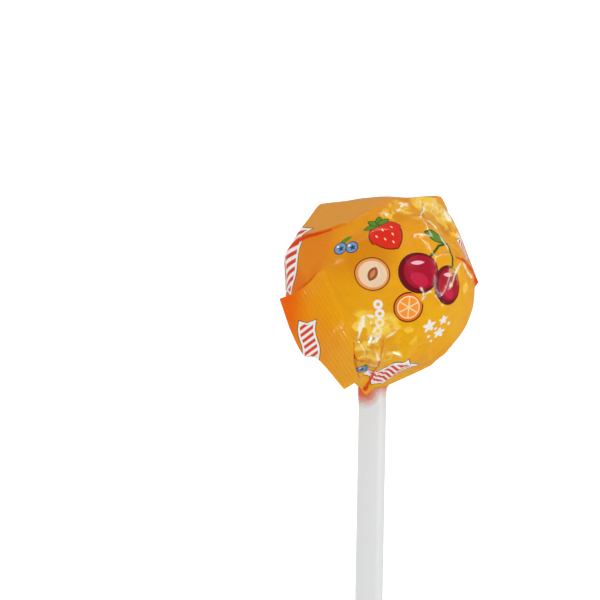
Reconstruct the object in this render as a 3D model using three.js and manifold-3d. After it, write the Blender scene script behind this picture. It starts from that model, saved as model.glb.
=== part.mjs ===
// A ball lollipop in its printed film wrapper, lying on its side.
// Millimetres, +Z up. The stick runs towards -Y, and the shown side of the ball faces +Z.
// Shapes are worked out in the lollipop's own frame: its origin is the middle of the candy ball,
// +X is to the right of the shown side, +Y runs along the stick to the ball, +Z faces the viewer.
import * as THREE from "three";
import { mergeVertices } from "three/addons/utils/BufferGeometryUtils.js";
import Module from "manifold-3d";

// The candy ball and its stick
const candyRadius = 13.05;
const stickRadius = 2.0;
const stickReach = 86; // from the ball's middle to the stick's far end
const stickDepth = 2; // how far past the ball's middle the stick's hidden end is
const stickOffset = -0.93; // the stick runs a little to the left of the ball's middle
const stickEndRounding = 0.25;
const restHeight = 13.0; // the ball's middle stands this high, on a small flat spot

// The film is stretched flat between its corners. Each stretch has a direction and a distance
// from the ball's middle: turn goes round the shown outline from +X, rise is towards the viewer.
const outlineStretches = [
  { turn: 0, rise: 0, distance: 13.4 },
  { turn: 20.6, rise: 0, distance: 13.4 },
  { turn: 32, rise: 3, distance: 14.35 },
  { turn: 90, rise: 2, distance: 13.25 },
  { turn: 97.5, rise: 2, distance: 13.0 },
  { turn: 146.8, rise: 0, distance: 14.2 },
  { turn: 180, rise: 0, distance: 14.2 },
  { turn: 214, rise: 0, distance: 13.3 },
  { turn: 243, rise: 0, distance: 13.2 },
  { turn: 318, rise: 0, distance: 13.75 },
  { turn: 343, rise: 0, distance: 13.6 },
];
const frontStretches = [
  { turn: 120, rise: 36, distance: 12.9 },
  { turn: 84, rise: 37, distance: 13.3 },
  { turn: 48, rise: 34, distance: 13.55 },
  { turn: 5, rise: 36, distance: 13.5 },
  { turn: 322, rise: 35, distance: 13.65 },
  { turn: 278, rise: 40, distance: 13.5 },
  { turn: 168, rise: 38, distance: 13.25 },
  { turn: 220, rise: 38, distance: 13.1 },
  { turn: 60, rise: 72, distance: 13.25 },
  { turn: 250, rise: 74, distance: 13.3 },
];
const backStretchCount = 22; // large ones, spread evenly over the side that lies down
const backStretchDistance = 13.2;
const backStretchSpread = 0.45;
const smallStretchCount = 64; // small ones, spread evenly all round
const smallStretchDistance = 13.55;
const smallStretchSpread = 0.3;
const tallCorners = [{ turn: 57, rise: 0 }, { turn: 127, rise: 0 }, { turn: 165, rise: 0 }];
const tallCornerReach = 26; // degrees round a tall corner that small ones leave alone
const stretchSharpness = 80; // how crisp the edges between two stretches are
const candySharpness = 60;
const slackRadius = 13.95; // the film's radius where it is slack, low on the ball
const slackPeak = 2.4; // how much further its corners may stand out near the top

// Folds on the shown side, between two points seen from the front.
// A ridge stands up, a groove sinks in, and a lap drops off sharply on one side.
const folds = [
  { kind: "lap", from: [-12.0, 6.2], to: [-6.9, 8.7], height: 0.45, width: 2.2 },
  { kind: "lap", from: [0.4, -6.4], to: [-1.0, -12.6], height: 0.4, width: 1.6 },
  { kind: "ridge", from: [10.9, 4.4], to: [13.7, 0.7], height: 0.7, width: 1.25 },
  { kind: "ridge", from: [5.2, 12.9], to: [6.0, 9.4], height: -0.45, width: 1.2 },
];

const lapEdge = 0.45; // half the width over which a lap drops off

// The neck, where the film is gathered onto the stick
const neckAngle = 144; // degrees from the ball's top
const neckClearance = 0.3; // between the stick and the film
const collarWall = 0.45;
const collarTop = 14.4; // from the ball's middle
const collarEnd = 16.2;
const gatherCount = 9;
const gatherHeight = 0.5;
const gatherStart = 112; // degrees from the ball's top

// The loose flap of film over the ball's lower left, its edges seen from the front
const flapJoin = [[-8.6, 2.6], [-6.3, -2.8], [-3.9, -8.2]];
const flapTop = [[-8.6, 2.6], [-10.6, 0.2], [-12.4, -1.05], [-14.6, -2.0]];
const flapSide = [
  [-14.6, -2.0, 7.2], [-12.9, -6.6, 5.8], [-11.0, -10.0, 4.8], [-8.9, -10.6, 5.0], [-5.15, -14.8, 3.2],
];
const flapFoot = [[-3.9, -8.2], [-3.2, -12.2], [-5.15, -14.8]];
const flapThickness = 0.4;
const flapStep = 0.1; // how far its joined edge stands over the film
const flapTuck = 1.1; // how far it runs on to sink under the film
const flapSink = 0.9;

// Mesh fineness
const ballRows = 42;
const neckRows = 5;
const columns = 72;
const flapRows = 16;
const flapColumns = 12;
const stickSides = 40;

const tau = 2 * Math.PI;
const goldenTurn = 137.508;
const restAngle = Math.asin(restHeight / Math.hypot(stickReach, stickRadius))
  - Math.atan(stickRadius / stickReach);
const floorWay = new THREE.Vector3(0, -Math.sin(restAngle), -Math.cos(restAngle));

function wayOf(turn, rise) {
  const t = THREE.MathUtils.degToRad(turn);
  const e = THREE.MathUtils.degToRad(rise);
  return new THREE.Vector3(Math.cos(t) * Math.cos(e), Math.sin(t) * Math.cos(e), Math.sin(e));
}

// Stretches spread evenly along a spiral, between two heights of a ball of radius 1
function spiralStretches(count, low, high, distance, spread) {
  return Array.from({ length: count }, (_, i) => ({
    turn: i * goldenTurn,
    rise: THREE.MathUtils.radToDeg(Math.asin(low + (high - low) * (i + 0.5) / count)),
    distance: distance + spread * Math.sin(3.7 * i + 0.8),
  }));
}

function clearOfCorners(stretch) {
  const limit = Math.cos(THREE.MathUtils.degToRad(tallCornerReach));
  const way = wayOf(stretch.turn, stretch.rise);
  return tallCorners.every((corner) => way.dot(wayOf(corner.turn, corner.rise)) < limit);
}

const stretches = [
  ...outlineStretches,
  ...frontStretches,
  ...spiralStretches(backStretchCount, -1, -0.3, backStretchDistance, backStretchSpread),
  ...spiralStretches(smallStretchCount, -1, 1, smallStretchDistance, smallStretchSpread)
    .filter(clearOfCorners),
].map((stretch) => ({ way: wayOf(stretch.turn, stretch.rise), distance: stretch.distance }));

// A point of the shown side, seen from the front, set on a ball of the film's size
function onFront([x, y]) {
  return new THREE.Vector3(x, y, Math.sqrt(Math.max(slackRadius ** 2 - x * x - y * y, 0)));
}

const foldLines = folds.map((fold) => {
  const from = onFront(fold.from);
  const to = onFront(fold.to);
  const side = new THREE.Vector3().crossVectors(from, to).normalize();
  return { ...fold, line: new THREE.Line3(from, to), side };
});

// How much a fold adds to the film's radius in one direction
function foldHeight(fold, way) {
  const here = way.clone().multiplyScalar(slackRadius);
  const nearest = new THREE.Vector3();
  fold.line.closestPointToPoint(here, true, nearest);
  const away = here.distanceTo(nearest);
  if (fold.kind === "lap") {
    const across = here.dot(fold.side);
    const edge = THREE.MathUtils.smoothstep(across, -lapEdge, lapEdge);
    return fold.height * edge * Math.exp(-((away / fold.width) ** 2));
  }
  return fold.height * Math.exp(-((away / fold.width) ** 2));
}

// The pleats that run into the neck: sharp on top, round between
function gather(turn) {
  const wave = Math.abs(Math.sin(0.5 * gatherCount * turn + 0.9 * Math.sin(turn + 1.1)));
  return 1 - 2 * wave ** 0.8;
}

// The film's distance from the ball's middle in one direction
function filmRadius(way) {
  const peak = THREE.MathUtils.smoothstep(way.y, 0, 0.75);
  const limit = slackRadius + slackPeak * peak;
  let sum = limit ** -stretchSharpness;
  for (const stretch of stretches) {
    const facing = way.dot(stretch.way);
    if (facing > 0) {
      sum += (facing / stretch.distance) ** stretchSharpness;
    }
  }
  const taut = sum ** (-1 / stretchSharpness);
  const over = (taut / candyRadius) ** candySharpness;
  let radius = candyRadius * (1 + over) ** (1 / candySharpness);
  for (const fold of foldLines) {
    radius += foldHeight(fold, way);
  }
  const fromTop = THREE.MathUtils.radToDeg(Math.acos(THREE.MathUtils.clamp(way.y, -1, 1)));
  const gathered = THREE.MathUtils.smoothstep(fromTop, gatherStart, neckAngle);
  return radius + gathered * gatherHeight * 0.5 * gather(Math.atan2(way.z, way.x));
}

function ballPoint(fromTop, turn) {
  const way = new THREE.Vector3(
    Math.sin(fromTop) * Math.cos(turn),
    Math.cos(fromTop),
    Math.sin(fromTop) * Math.sin(turn),
  );
  return way.multiplyScalar(filmRadius(way));
}

// A ring of points round the stick
function stickRing(radius, y) {
  return Array.from({ length: columns }, (_, i) => {
    const turn = tau * i / columns;
    return new THREE.Vector3(stickOffset + radius * Math.cos(turn), y, radius * Math.sin(turn));
  });
}

// A closed body from rings of equal length, with a point at each end
function closedSkin(rings, firstPoint, lastPoint) {
  const count = rings[0].length;
  const points = [firstPoint, ...rings.flat(), lastPoint];
  const at = (row, i) => 1 + row * count + (i % count);
  const last = points.length - 1;
  const index = [];
  for (let i = 0; i < count; i += 1) {
    index.push(0, at(0, i + 1), at(0, i));
    index.push(last, at(rings.length - 1, i), at(rings.length - 1, i + 1));
  }
  for (let row = 0; row + 1 < rings.length; row += 1) {
    for (let i = 0; i < count; i += 1) {
      const a = at(row, i);
      const b = at(row, i + 1);
      const c = at(row + 1, i + 1);
      const d = at(row + 1, i);
      index.push(a, b, c, a, c, d);
    }
  }
  return shape(points, index);
}

function shape(points, index) {
  const geometry = new THREE.BufferGeometry();
  geometry.setFromPoints(points);
  geometry.setIndex(index);
  return geometry;
}

// The film round the ball, with the neck, the collar and the hole that the stick fills
function ballFilm() {
  const neck = THREE.MathUtils.degToRad(neckAngle);
  const rings = [];
  for (let row = 1; row <= ballRows; row += 1) {
    const fromTop = neck * row / ballRows;
    rings.push(Array.from({ length: columns }, (_, i) => ballPoint(fromTop, tau * i / columns)));
  }
  const bore = stickRadius + neckClearance;
  const brim = rings[rings.length - 1];
  const collar = stickRing(bore + collarWall, -collarTop);
  for (let row = 1; row <= neckRows; row += 1) {
    const share = row / neckRows;
    rings.push(brim.map((point, i) => point.clone().lerp(collar[i], share)));
  }
  rings.push(stickRing(bore + collarWall, -0.5 * (collarTop + collarEnd)));
  rings.push(stickRing(bore + 0.8 * collarWall, -collarEnd));
  rings.push(stickRing(bore, -collarEnd));
  const boreEnd = stickDepth + neckClearance;
  const boreSteps = 3;
  for (let step = 1; step <= boreSteps; step += 1) {
    rings.push(stickRing(bore, THREE.MathUtils.lerp(-collarEnd, boreEnd, step / boreSteps)));
  }
  const top = ballPoint(0, 0);
  return closedSkin(rings, top, new THREE.Vector3(stickOffset, boreEnd, 0));
}

// How far towards the viewer the film stands over a point seen from the front
function filmDepth(x, y) {
  let depth = onFront([x, y]).z;
  for (let round = 0; round < 12; round += 1) {
    const here = new THREE.Vector3(x, y, depth);
    const radius = filmRadius(here.clone().normalize());
    depth = Math.sqrt(Math.max(radius * radius - x * x - y * y, 0));
  }
  return depth;
}

function edgeCurve(corners) {
  return new THREE.CatmullRomCurve3(corners.map(([x, y, z = 0]) => new THREE.Vector3(x, y, z)));
}

// The flap fills the four edge curves, and leaves the ball on the tangent at its joined edge
function flapGrid() {
  const join = edgeCurve(flapJoin);
  const top = edgeCurve(flapTop);
  const side = edgeCurve(flapSide);
  const foot = edgeCurve(flapFoot);
  const grid = [];
  for (let row = 0; row <= flapRows; row += 1) {
    const v = row / flapRows;
    const start = join.getPoint(v);
    const end = side.getPoint(v);
    const endDepth = end.z;
    end.z = 0;
    const out = end.clone().sub(start).normalize();
    const startDepth = filmDepth(start.x, start.y);
    const nudge = 0.2;
    const nextDepth = filmDepth(start.x + nudge * out.x, start.y + nudge * out.y);
    const slope = (nextDepth - startDepth) / nudge;
    const line = [];
    const tucked = start.clone().addScaledVector(out, -flapTuck);
    line.push(new THREE.Vector3(tucked.x, tucked.y, filmDepth(tucked.x, tucked.y) - flapSink));
    for (let column = 0; column <= flapColumns; column += 1) {
      const u = column / flapColumns;
      const across = start.clone().lerp(end, u);
      const along = top.getPoint(u).lerp(foot.getPoint(u), v);
      const corners = top.getPoint(0).lerp(foot.getPoint(0), v)
        .lerp(top.getPoint(1).lerp(foot.getPoint(1), v), u);
      const here = across.add(along).sub(corners);
      const middle = startDepth + 0.5 * slope * start.distanceTo(end);
      const nearHalf = THREE.MathUtils.lerp(startDepth, middle, u);
      const farHalf = THREE.MathUtils.lerp(middle, endDepth, u);
      here.z = flapStep + THREE.MathUtils.lerp(nearHalf, farHalf, u);
      line.push(here);
    }
    grid.push(line);
  }
  return grid;
}

// A sheet of even thickness under a grid of points, closed round its edge
function thickSheet(grid, thickness) {
  const rows = grid.length;
  const width = grid[0].length;
  const front = grid.flat();
  const back = [];
  for (let row = 0; row < rows; row += 1) {
    for (let i = 0; i < width; i += 1) {
      const across = grid[row][Math.min(i + 1, width - 1)].clone()
        .sub(grid[row][Math.max(i - 1, 0)]);
      const along = grid[Math.min(row + 1, rows - 1)][i].clone()
        .sub(grid[Math.max(row - 1, 0)][i]);
      const out = new THREE.Vector3().crossVectors(along, across).normalize();
      back.push(grid[row][i].clone().addScaledVector(out, -thickness * Math.sign(out.z)));
    }
  }
  const points = [...front, ...back];
  const far = front.length;
  const index = [];
  const quad = (a, b, c, d) => index.push(a, b, c, a, c, d);
  for (let row = 0; row + 1 < rows; row += 1) {
    for (let i = 0; i + 1 < width; i += 1) {
      const a = row * width + i;
      quad(a, a + 1, a + width + 1, a + width);
      quad(far + a, far + a + width, far + a + width + 1, far + a + 1);
    }
  }
  const rim = [];
  for (let i = 0; i < width; i += 1) rim.push(i);
  for (let row = 1; row < rows; row += 1) rim.push(row * width + width - 1);
  for (let i = width - 2; i >= 0; i -= 1) rim.push((rows - 1) * width + i);
  for (let row = rows - 2; row > 0; row -= 1) rim.push(row * width);
  rim.forEach((a, i) => {
    const b = rim[(i + 1) % rim.length];
    quad(b, a, far + a, far + b);
  });
  return shape(points, index);
}

// Turns a closed shape inside out if its faces point inwards
function facingOut(geometry) {
  const position = geometry.getAttribute("position");
  const index = geometry.getIndex().array;
  const [a, b, c] = [new THREE.Vector3(), new THREE.Vector3(), new THREE.Vector3()];
  let volume = 0;
  for (let i = 0; i < index.length; i += 3) {
    a.fromBufferAttribute(position, index[i]);
    b.fromBufferAttribute(position, index[i + 1]);
    c.fromBufferAttribute(position, index[i + 2]);
    volume += a.dot(b.cross(c)) / 6;
  }
  if (volume > 0) return geometry;
  geometry.setIndex(Array.from(index).reverse());
  return geometry;
}

const wasm = await Module();
wasm.setup();

function toSolid(geometry) {
  const merged = mergeVertices(facingOut(geometry));
  return new wasm.Manifold(new wasm.Mesh({
    numProp: 3,
    vertProperties: new Float32Array(merged.getAttribute("position").array),
    triVerts: new Uint32Array(merged.getIndex().array),
  }));
}

function fromSolid(solid) {
  const mesh = solid.getMesh();
  const geometry = new THREE.BufferGeometry();
  geometry.setAttribute("position", new THREE.BufferAttribute(mesh.vertProperties, 3));
  geometry.setIndex(new THREE.BufferAttribute(mesh.triVerts, 1));
  return geometry;
}

// Everything under the floor is pressed flat onto it
function pressFlat(geometry) {
  const position = geometry.getAttribute("position");
  const point = new THREE.Vector3();
  for (let i = 0; i < position.count; i += 1) {
    point.fromBufferAttribute(position, i);
    const under = point.dot(floorWay) - restHeight;
    if (under > 0) {
      point.addScaledVector(floorWay, -under);
      position.setXYZ(i, point.x, point.y, point.z);
    }
  }
  return geometry;
}

function wrapper() {
  const film = toSolid(pressFlat(ballFilm()));
  const flap = toSolid(thickSheet(flapGrid(), flapThickness));
  return fromSolid(film.add(flap));
}

// The stick: a rod with slightly rounded ends, turned about its own axis
function stick() {
  const edge = stickRadius - stickEndRounding;
  const profile = [
    new THREE.Vector2(0, -stickReach),
    new THREE.Vector2(edge, -stickReach),
    new THREE.Vector2(stickRadius, -stickReach + stickEndRounding),
    new THREE.Vector2(stickRadius, -0.5 * stickReach),
    new THREE.Vector2(stickRadius, stickDepth - stickEndRounding),
    new THREE.Vector2(edge, stickDepth),
    new THREE.Vector2(0, stickDepth),
  ];
  return new THREE.LatheGeometry(profile, stickSides);
}

const filmPlastic = new THREE.MeshStandardMaterial({ color: 0xe9a41f, roughness: 0.35, metalness: 0 });
const whitePlastic = new THREE.MeshStandardMaterial({ color: 0xe4e5e5, roughness: 0.5, metalness: 0 });

const wrapperMesh = new THREE.Mesh(wrapper(), filmPlastic);
wrapperMesh.name = "wrapper";
const stickMesh = new THREE.Mesh(stick(), whitePlastic);
stickMesh.name = "stick";
stickMesh.position.x = stickOffset;

// Laid down: the ball on its flat spot, the stick's far end on the floor
const lollipop = new THREE.Group();
lollipop.add(wrapperMesh, stickMesh);
lollipop.rotation.x = restAngle;

// The origin is on the floor, under the middle of the whole
const group = new THREE.Group();
group.add(lollipop);
lollipop.position.z = restHeight;
group.updateMatrixWorld(true);
const middle = new THREE.Box3().setFromObject(group, true).getCenter(new THREE.Vector3());
lollipop.position.x = -middle.x;
lollipop.position.y = -middle.y;

export default group;
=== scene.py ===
"""A ball lollipop in a crumpled, printed film wrapper, lying on a pale floor.

The shapes are worked out in millimetres in the lollipop's own frame: its origin is the middle of
the candy ball, +X is to the right of the shown side, +Y runs along the stick to the ball, and +Z
faces the viewer. laid_down() turns them into metres in the frame's own place.
"""
import math

import bmesh
import bpy
import numpy as np
from mathutils import Matrix, Vector


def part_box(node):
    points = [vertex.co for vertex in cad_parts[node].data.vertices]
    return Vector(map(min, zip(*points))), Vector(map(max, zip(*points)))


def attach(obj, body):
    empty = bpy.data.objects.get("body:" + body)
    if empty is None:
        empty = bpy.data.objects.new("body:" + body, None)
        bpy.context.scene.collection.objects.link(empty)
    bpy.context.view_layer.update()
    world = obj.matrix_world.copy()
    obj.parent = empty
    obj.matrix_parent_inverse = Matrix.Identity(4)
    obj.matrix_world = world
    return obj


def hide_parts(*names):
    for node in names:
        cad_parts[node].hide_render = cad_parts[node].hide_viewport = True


bl_info = {
    "name": "Wrapped ball lollipop",
    "version": (1, 0, 0),
    "blender": (4, 5, 0),
    "location": "3D View > Sidebar > Lollipop",
    "description": "Makes the film, the flap, the folds and the stick of a wrapped ball lollipop",
    "category": "Object",
}

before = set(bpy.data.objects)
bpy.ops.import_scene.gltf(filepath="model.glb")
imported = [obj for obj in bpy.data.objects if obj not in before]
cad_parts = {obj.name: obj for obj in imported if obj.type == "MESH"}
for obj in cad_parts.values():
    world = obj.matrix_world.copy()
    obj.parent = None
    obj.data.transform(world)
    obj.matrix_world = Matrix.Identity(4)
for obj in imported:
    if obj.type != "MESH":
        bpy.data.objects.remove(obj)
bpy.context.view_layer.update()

MM = 0.001
TAU = 2 * math.pi
GOLDEN_TURN = 137.508

# The candy ball, its stick and how it lies, in millimetres
CANDY_RADIUS = 13.05
STICK_RADIUS = 2.0
STICK_REACH = 86.0
STICK_DEPTH = 2.0
STICK_OFFSET = -0.93
STICK_END_ROUNDING = 0.25
STICK_SHARP_ANGLE = math.radians(40)
REST_HEIGHT = 13.0
REST_ANGLE = (math.asin(REST_HEIGHT / math.hypot(STICK_REACH, STICK_RADIUS))
              - math.atan(STICK_RADIUS / STICK_REACH))
FLOOR_WAY = np.array([0.0, -math.sin(REST_ANGLE), -math.cos(REST_ANGLE)])

# The photograph's frame: its side and the ball's middle in pixels, millimetres to a pixel, and
# how many degrees the stick leans
PHOTO_SIDE = 600
PIXEL = 0.145
BALL_PIXEL = (381, 287)
CAMERA_LEAN = 1.05

# The film's flat stretches: turn round the shown outline from +X, rise towards the viewer, both
# in degrees, and the distance from the ball's middle
OUTLINE_STRETCHES = [
    (0, 0, 13.4), (25, 0, 13.25), (92.5, 2, 12.85), (97.5, 2, 13.0), (146.8, 0, 14.2), (180, 0, 14.2),
    (214, 0, 13.3), (243, 0, 13.2), (302, 0, 13.05), (322, 0, 13.2), (343, 0, 13.4),
]
FRONT_STRETCHES = [
    (120, 36, 12.9), (84, 37, 13.3), (48, 34, 13.55), (5, 36, 13.5), (322, 35, 13.65),
    (278, 40, 13.5), (168, 38, 13.25), (220, 38, 13.1), (60, 72, 13.25), (250, 74, 13.3),
]
BACK_STRETCHES = (22, -1.0, -0.3, 13.2, 0.45)
SMALL_STRETCHES = (64, -1.0, 1.0, 13.55, 0.3)
# Corners that no small stretch cuts off: turn, rise and how many degrees are kept free round them
TALL_CORNERS = [(57, 0, 31), (127, 0, 26), (165, 0, 26)]
STRETCH_SHARPNESS = 80
# The edge of the matte stretch, which is rougher and has a painted sheen, seen from the front
HAZE_EDGE = [(-12.3, 5.5), (-9.8, 7.25), (-7.7, 8.4), (-5.3, 9.4), (-2.1, 10.9), (-0.2, 11.7),
             (3.5, 12.4)]
CANDY_SHARPNESS = 60
SLACK_RADIUS = 13.95
SLACK_PEAK = 2.4

# The neck, where the film is gathered onto the stick
NECK_ANGLE = 144
COLLAR_TOP = 14.15
COLLAR_RADIUS = 2.42
NECK_BULGE = 0.42
PLEAT_HEIGHT = 0.22
BORE_RADIUS = 2.04
BORE_END = 2.3
# The rings of the stick's hole, as shares of its length
BORE_SHARES = (0.0, 0.15, 0.5, 1.0)
GATHER_COUNT = 9
GATHER_START = 112
GATHER_HEIGHT = 0.5

# The flap's edges seen from the front; its side also has its height towards the viewer
FLAP_JOIN = [(-8.6, 2.6), (-6.3, -2.8), (-4.15, -8.2)]
FLAP_TOP = [(-8.6, 2.6), (-10.6, 0.2), (-12.4, -1.05), (-14.6, -2.0)]
FLAP_SIDE = [(-14.6, -2.0, 7.2), (-12.9, -6.6, 5.8), (-11.0, -10.0, 4.8), (-8.9, -10.6, 5.0),
             (-5.15, -14.8, 3.2)]
FLAP_FOOT = [(-4.15, -8.2), (-4.0, -10.8), (-3.4, -13.2), (-5.15, -14.8)]
FLAP_THICKNESS = 0.1
FLAP_TUCK = 1.4
FLAP_TUCK_STEPS = 6
TUCK_DEPTH = 0.03
TUCK_SLOPE = 0.3

# Laps of the film on the shown side, as lines seen from the front: height and width in
# millimetres, and how strong the line of painted shade inside the fold is at the start and at the end.
# A lap drops off on its left.
LAPS = [
    ([(-12.3, 5.5), (-9.8, 7.2), (-8.8, 7.9), (-7.9, 8.3), (-4.9, 9.5)], 0.42, 1.1, 1.0, 0.2),
    ([(-0.1, -6.5), (0.0, -8.05), (-0.2, -9.9), (-0.55, -11.5), (-1.2, -12.8), (-1.7, -13.8),
      (-2.1, -14.6)], 0.34, 0.8, 0.3, 1.1),
    ([(-4.3, -8.6), (-4.15, -9.6), (-3.9, -10.1), (-3.5, -10.7), (-3.0, -11.2), (-2.3, -11.4)],
     0.16, 0.6, 1.0, 0.7),
]
# Ridges (or, with a height under 0, grooves): line, height, width, and half the width of the
# painted highlight along the crest, a pale strip
RIDGES = [
    ([(10.4, 4.5), (12.15, 3.05), (13.3, 0.9)], 0.3, 0.7, 0.0),
    ([(4.8, 12.3), (5.2, 11.2), (5.5, 9.1)], -0.22, 0.9, 0.0),
    ([(7.4, 11.6), (8.3, 10.6), (9.8, 8.7), (11.8, 5.7)], 0.3, 0.6, 0.08),
    ([(1.5, 10.9), (2.15, 11.3), (2.6, 11.9), (3.7, 12.1)], 0.16, 0.3, 0.32),
    ([(1.9, 12.3), (2.6, 11.9), (3.6, 11.7)], 0.12, 0.25, 0.28),
    ([(-1.2, 10.5), (-0.3, 10.6), (0.5, 10.3)], 0.12, 0.35, 0.38),
    ([(5.7, 11.8), (5.6, 11.2), (5.2, 10.4), (4.9, 9.6)], 0.16, 0.3, 0.3),
    ([(4.9, 9.6), (6.2, 9.2), (7.4, 8.5), (8.1, 7.3), (8.8, 6.0), (9.4, 4.9)], 0.2, 0.4, 0.25),
    ([(5.35, 9.3), (5.95, 8.1), (6.7, 6.9)], 0.08, 0.3, 0.17),
    ([(4.0, 6.6), (4.0, 7.3), (4.75, 7.4), (5.6, 7.3), (6.5, 7.0)], 0.08, 0.3, 0.17),
    ([(8.0, 10.75), (8.6, 10.15), (9.4, 9.2)], 0.14, 0.4, 0.75),
    ([(10.3, 8.1), (10.6, 7.6), (10.95, 7.1)], 0.1, 0.3, 0.4),
    ([(6.3, 11.75), (6.9, 11.3), (7.7, 10.85)], 0.14, 0.4, 0.2),
    ([(11.1, 3.9), (10.35, 2.7), (10.0, 1.7), (9.65, 0.5), (8.9, -0.5)], 0.14, 0.3, 0.34),
    ([(11.1, 3.8), (11.6, 2.9), (12.3, 2.05), (12.9, 1.4)], 0.1, 0.25, 0.3),
    ([(8.7, 3.6), (9.2, 2.65), (9.2, 1.4), (8.6, -0.2), (7.6, -1.6)], 0.08, 0.3, 0.12),
    ([(4.8, 0.1), (5.4, -1.2), (5.1, -2.2)], 0.08, 0.3, 0.2),
    ([(5.4, -1.2), (6.4, -0.5)], 0.08, 0.3, 0.2),
    ([(6.8, -0.95), (7.4, -1.6), (7.9, -2.3)], 0.08, 0.3, 0.18),
    ([(6.85, 4.1), (7.9, 4.6), (9.5, 4.8)], 0.08, 0.3, 0.16),
    ([(-2.8, -4.0), (-3.1, -5.1), (-3.4, -6.5), (-3.75, -7.8)], 0.2, 0.5, 0.46),
    ([(-2.85, -4.2), (-2.1, -4.35), (-1.4, -4.4)], 0.1, 0.3, 0.28),
    ([(-3.65, -7.7), (-3.15, -8.6), (-2.75, -9.6), (-2.7, -10.4)], 0.12, 0.3, 0.2),
    ([(-2.5, -8.6), (-1.3, -7.7), (-0.2, -6.8)], 0.14, 0.35, 0.22),
    ([(0.15, -7.5), (1.1, -6.8), (2.0, -5.85)], 0.12, 0.4, 0.24),
    ([(-1.2, -9.2), (-0.85, -9.9), (-0.55, -10.7)], 0.1, 0.3, 0.24),
    ([(0.2, -9.9), (1.35, -9.85), (3.0, -9.8)], 0.12, 0.4, 0.14),
    ([(-2.4, -11.8), (-1.5, -11.8), (-0.6, -11.4)], 0.08, 0.3, 0.2),
    ([(-2.9, -3.9), (-1.65, -6.6), (-2.0, -9.9), (-2.35, -12.6)], -0.22, 0.5, 0.0),
    ([(-2.0, -1.6), (-0.7, 1.4), (-1.3, 3.75)], -0.1, 1.2, 0.0),
    ([(-5.3, 9.4), (-3.1, 10.6), (-2.1, 11.1)], 0.14, 0.7, 0.0),
    ([(5.5, 9.1), (6.9, 10.3), (8.3, 10.6)], -0.1, 0.5, 0.0),
]
# Strokes of painted shade, red-orange, inside folds: line, half width at its start, share of it
# that is left at the end
FOLD_STROKES = [
    ([(-12.3, 5.5), (-9.8, 7.15), (-7.9, 8.2)], 0.42, 0.4),
    ([(-4.3, -8.2), (-4.2, -9.4), (-4.05, -10.4)], 0.2, 0.5),
    ([(-4.1, -9.8), (-3.5, -10.7), (-2.3, -11.4)], 0.22, 0.6),
]
# A wedge of painted shade, red-orange: start, end, and its narrow and wide half width
FOLD_WEDGE = ((-0.95, -12.3), (-2.1, -14.7), 0.14, 0.42)
# Painted light, bright patches of the crumpled film: place, reach and strength
GLOWS = [
    (0.65, -5.4, 2.4, 0.8), (6.3, 11.4, 3.4, 1.0), (8.2, 10.1, 2.6, 0.95), (2.5, 11.6, 2.4, 0.55),
    (0.3, 10.6, 2.0, 0.45), (-2.5, -5.7, 3.0, 0.6), (-2.3, -9.5, 3.2, 0.6), (10.3, 2.0, 2.2, 0.45),
    (12.0, 0.0, 1.2, 0.7), (1.9, -10.0, 2.2, 0.35), (10.2, 8.2, 1.6, 0.5), (3.5, -6.9, 2.5, 0.3),
]
# Painted light and shade: where the ground is more orange as painted shade (or, under 0, more
# yellow as painted light), and where it is darker as painted shade: place, reach and share
WARM_SPOTS = [(-13.2, -1.0, 5.0, 0.8), (-10.2, 4.6, 5.5, 0.3), (8.0, 10.2, 6.0, -0.25),
              (6.5, -10.5, 6.0, 0.2)]
DIM_SPOTS = [(-2.6, 4.4, 5.2, 0.75), (-5.6, 3.6, 3.5, 0.4), (8.8, 8.8, 2.0, 0.8), (1.8, 10.3, 2.2, 0.5)]
# Where the film is crumpled on the shown side: place, reach and share
CRUMPLED_SPOTS = [(7.5, 10.0, 6.5, 0.95), (11.5, 3.5, 5.0, 0.5), (-1.6, -9.5, 5.0, 0.7)]
LAP_EDGE = 0.16
CREST = 0.06
RIDGE_HALF_WIDTH = 0.45
RIDGE_BUMP = 0.1
# Crumples of the mesh and finer ones of the material: seed, count, shortest and longest length in
# millimetres, and slope
CRUMPLES = (7, 9, 1.3, 6.0, 0.09)
FINE_CRUMPLES = (11, 6, 1.8, 5.0, 0.05)
# The way across the flap's ribs, seen from the front, and how much painted shade darkens their valleys
RIB_WAY = (0.834, 0.552, 0.0)
VALLEY_SHADE = 0.3

# The small lap at the right: places seen from the front and how far its free edge stands off
SIDE_FOLD = [(10.2, 4.6, 0.03), (11.6, 3.85, 0.1), (13.0, 2.3, 0.3), (13.62, 0.9, 0.55)]
SIDE_FOLD_WIDTH = 1.3
SIDE_FOLD_THICKNESS = 0.07
SHEET_SHARP_ANGLE = math.radians(50)

# The film's clear end round the stick
TAIL_START = 14.2
TAIL_TURN = math.radians(140)
TAIL_OUTER = 2.1
TAIL_INNER = 2.03

# The broad lights that no gloss shows: turn, rise, side in metres and share of the power; the
# distances of both kinds are in millimetres
FILL_LIGHTS = [(0, 90, 0.6, 1.5), (48, 30, 0.4, 0.62), (-35, 25, 0.4, 0.16), (165, 25, 0.4, 0.34),
               (250, 25, 0.4, 0.16)]
FILL_DISTANCE = 500
# The lights that only the gloss shows: turn, rise, width, height in metres and share
STRIP_LIGHTS = [(38, 26, 0.16, 0.06, 0.84), (98, 18, 0.16, 0.05, 0.6), (-4, 20, 0.12, 0.05, 0.5),
                (245, 32, 0.08, 0.05, 0.5), (155, 22, 0.12, 0.05, 0.24)]
STRIP_DISTANCE = 350
SURROUNDINGS_STRENGTH = 0.34
FLOOR_REACH = 1.6

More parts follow.
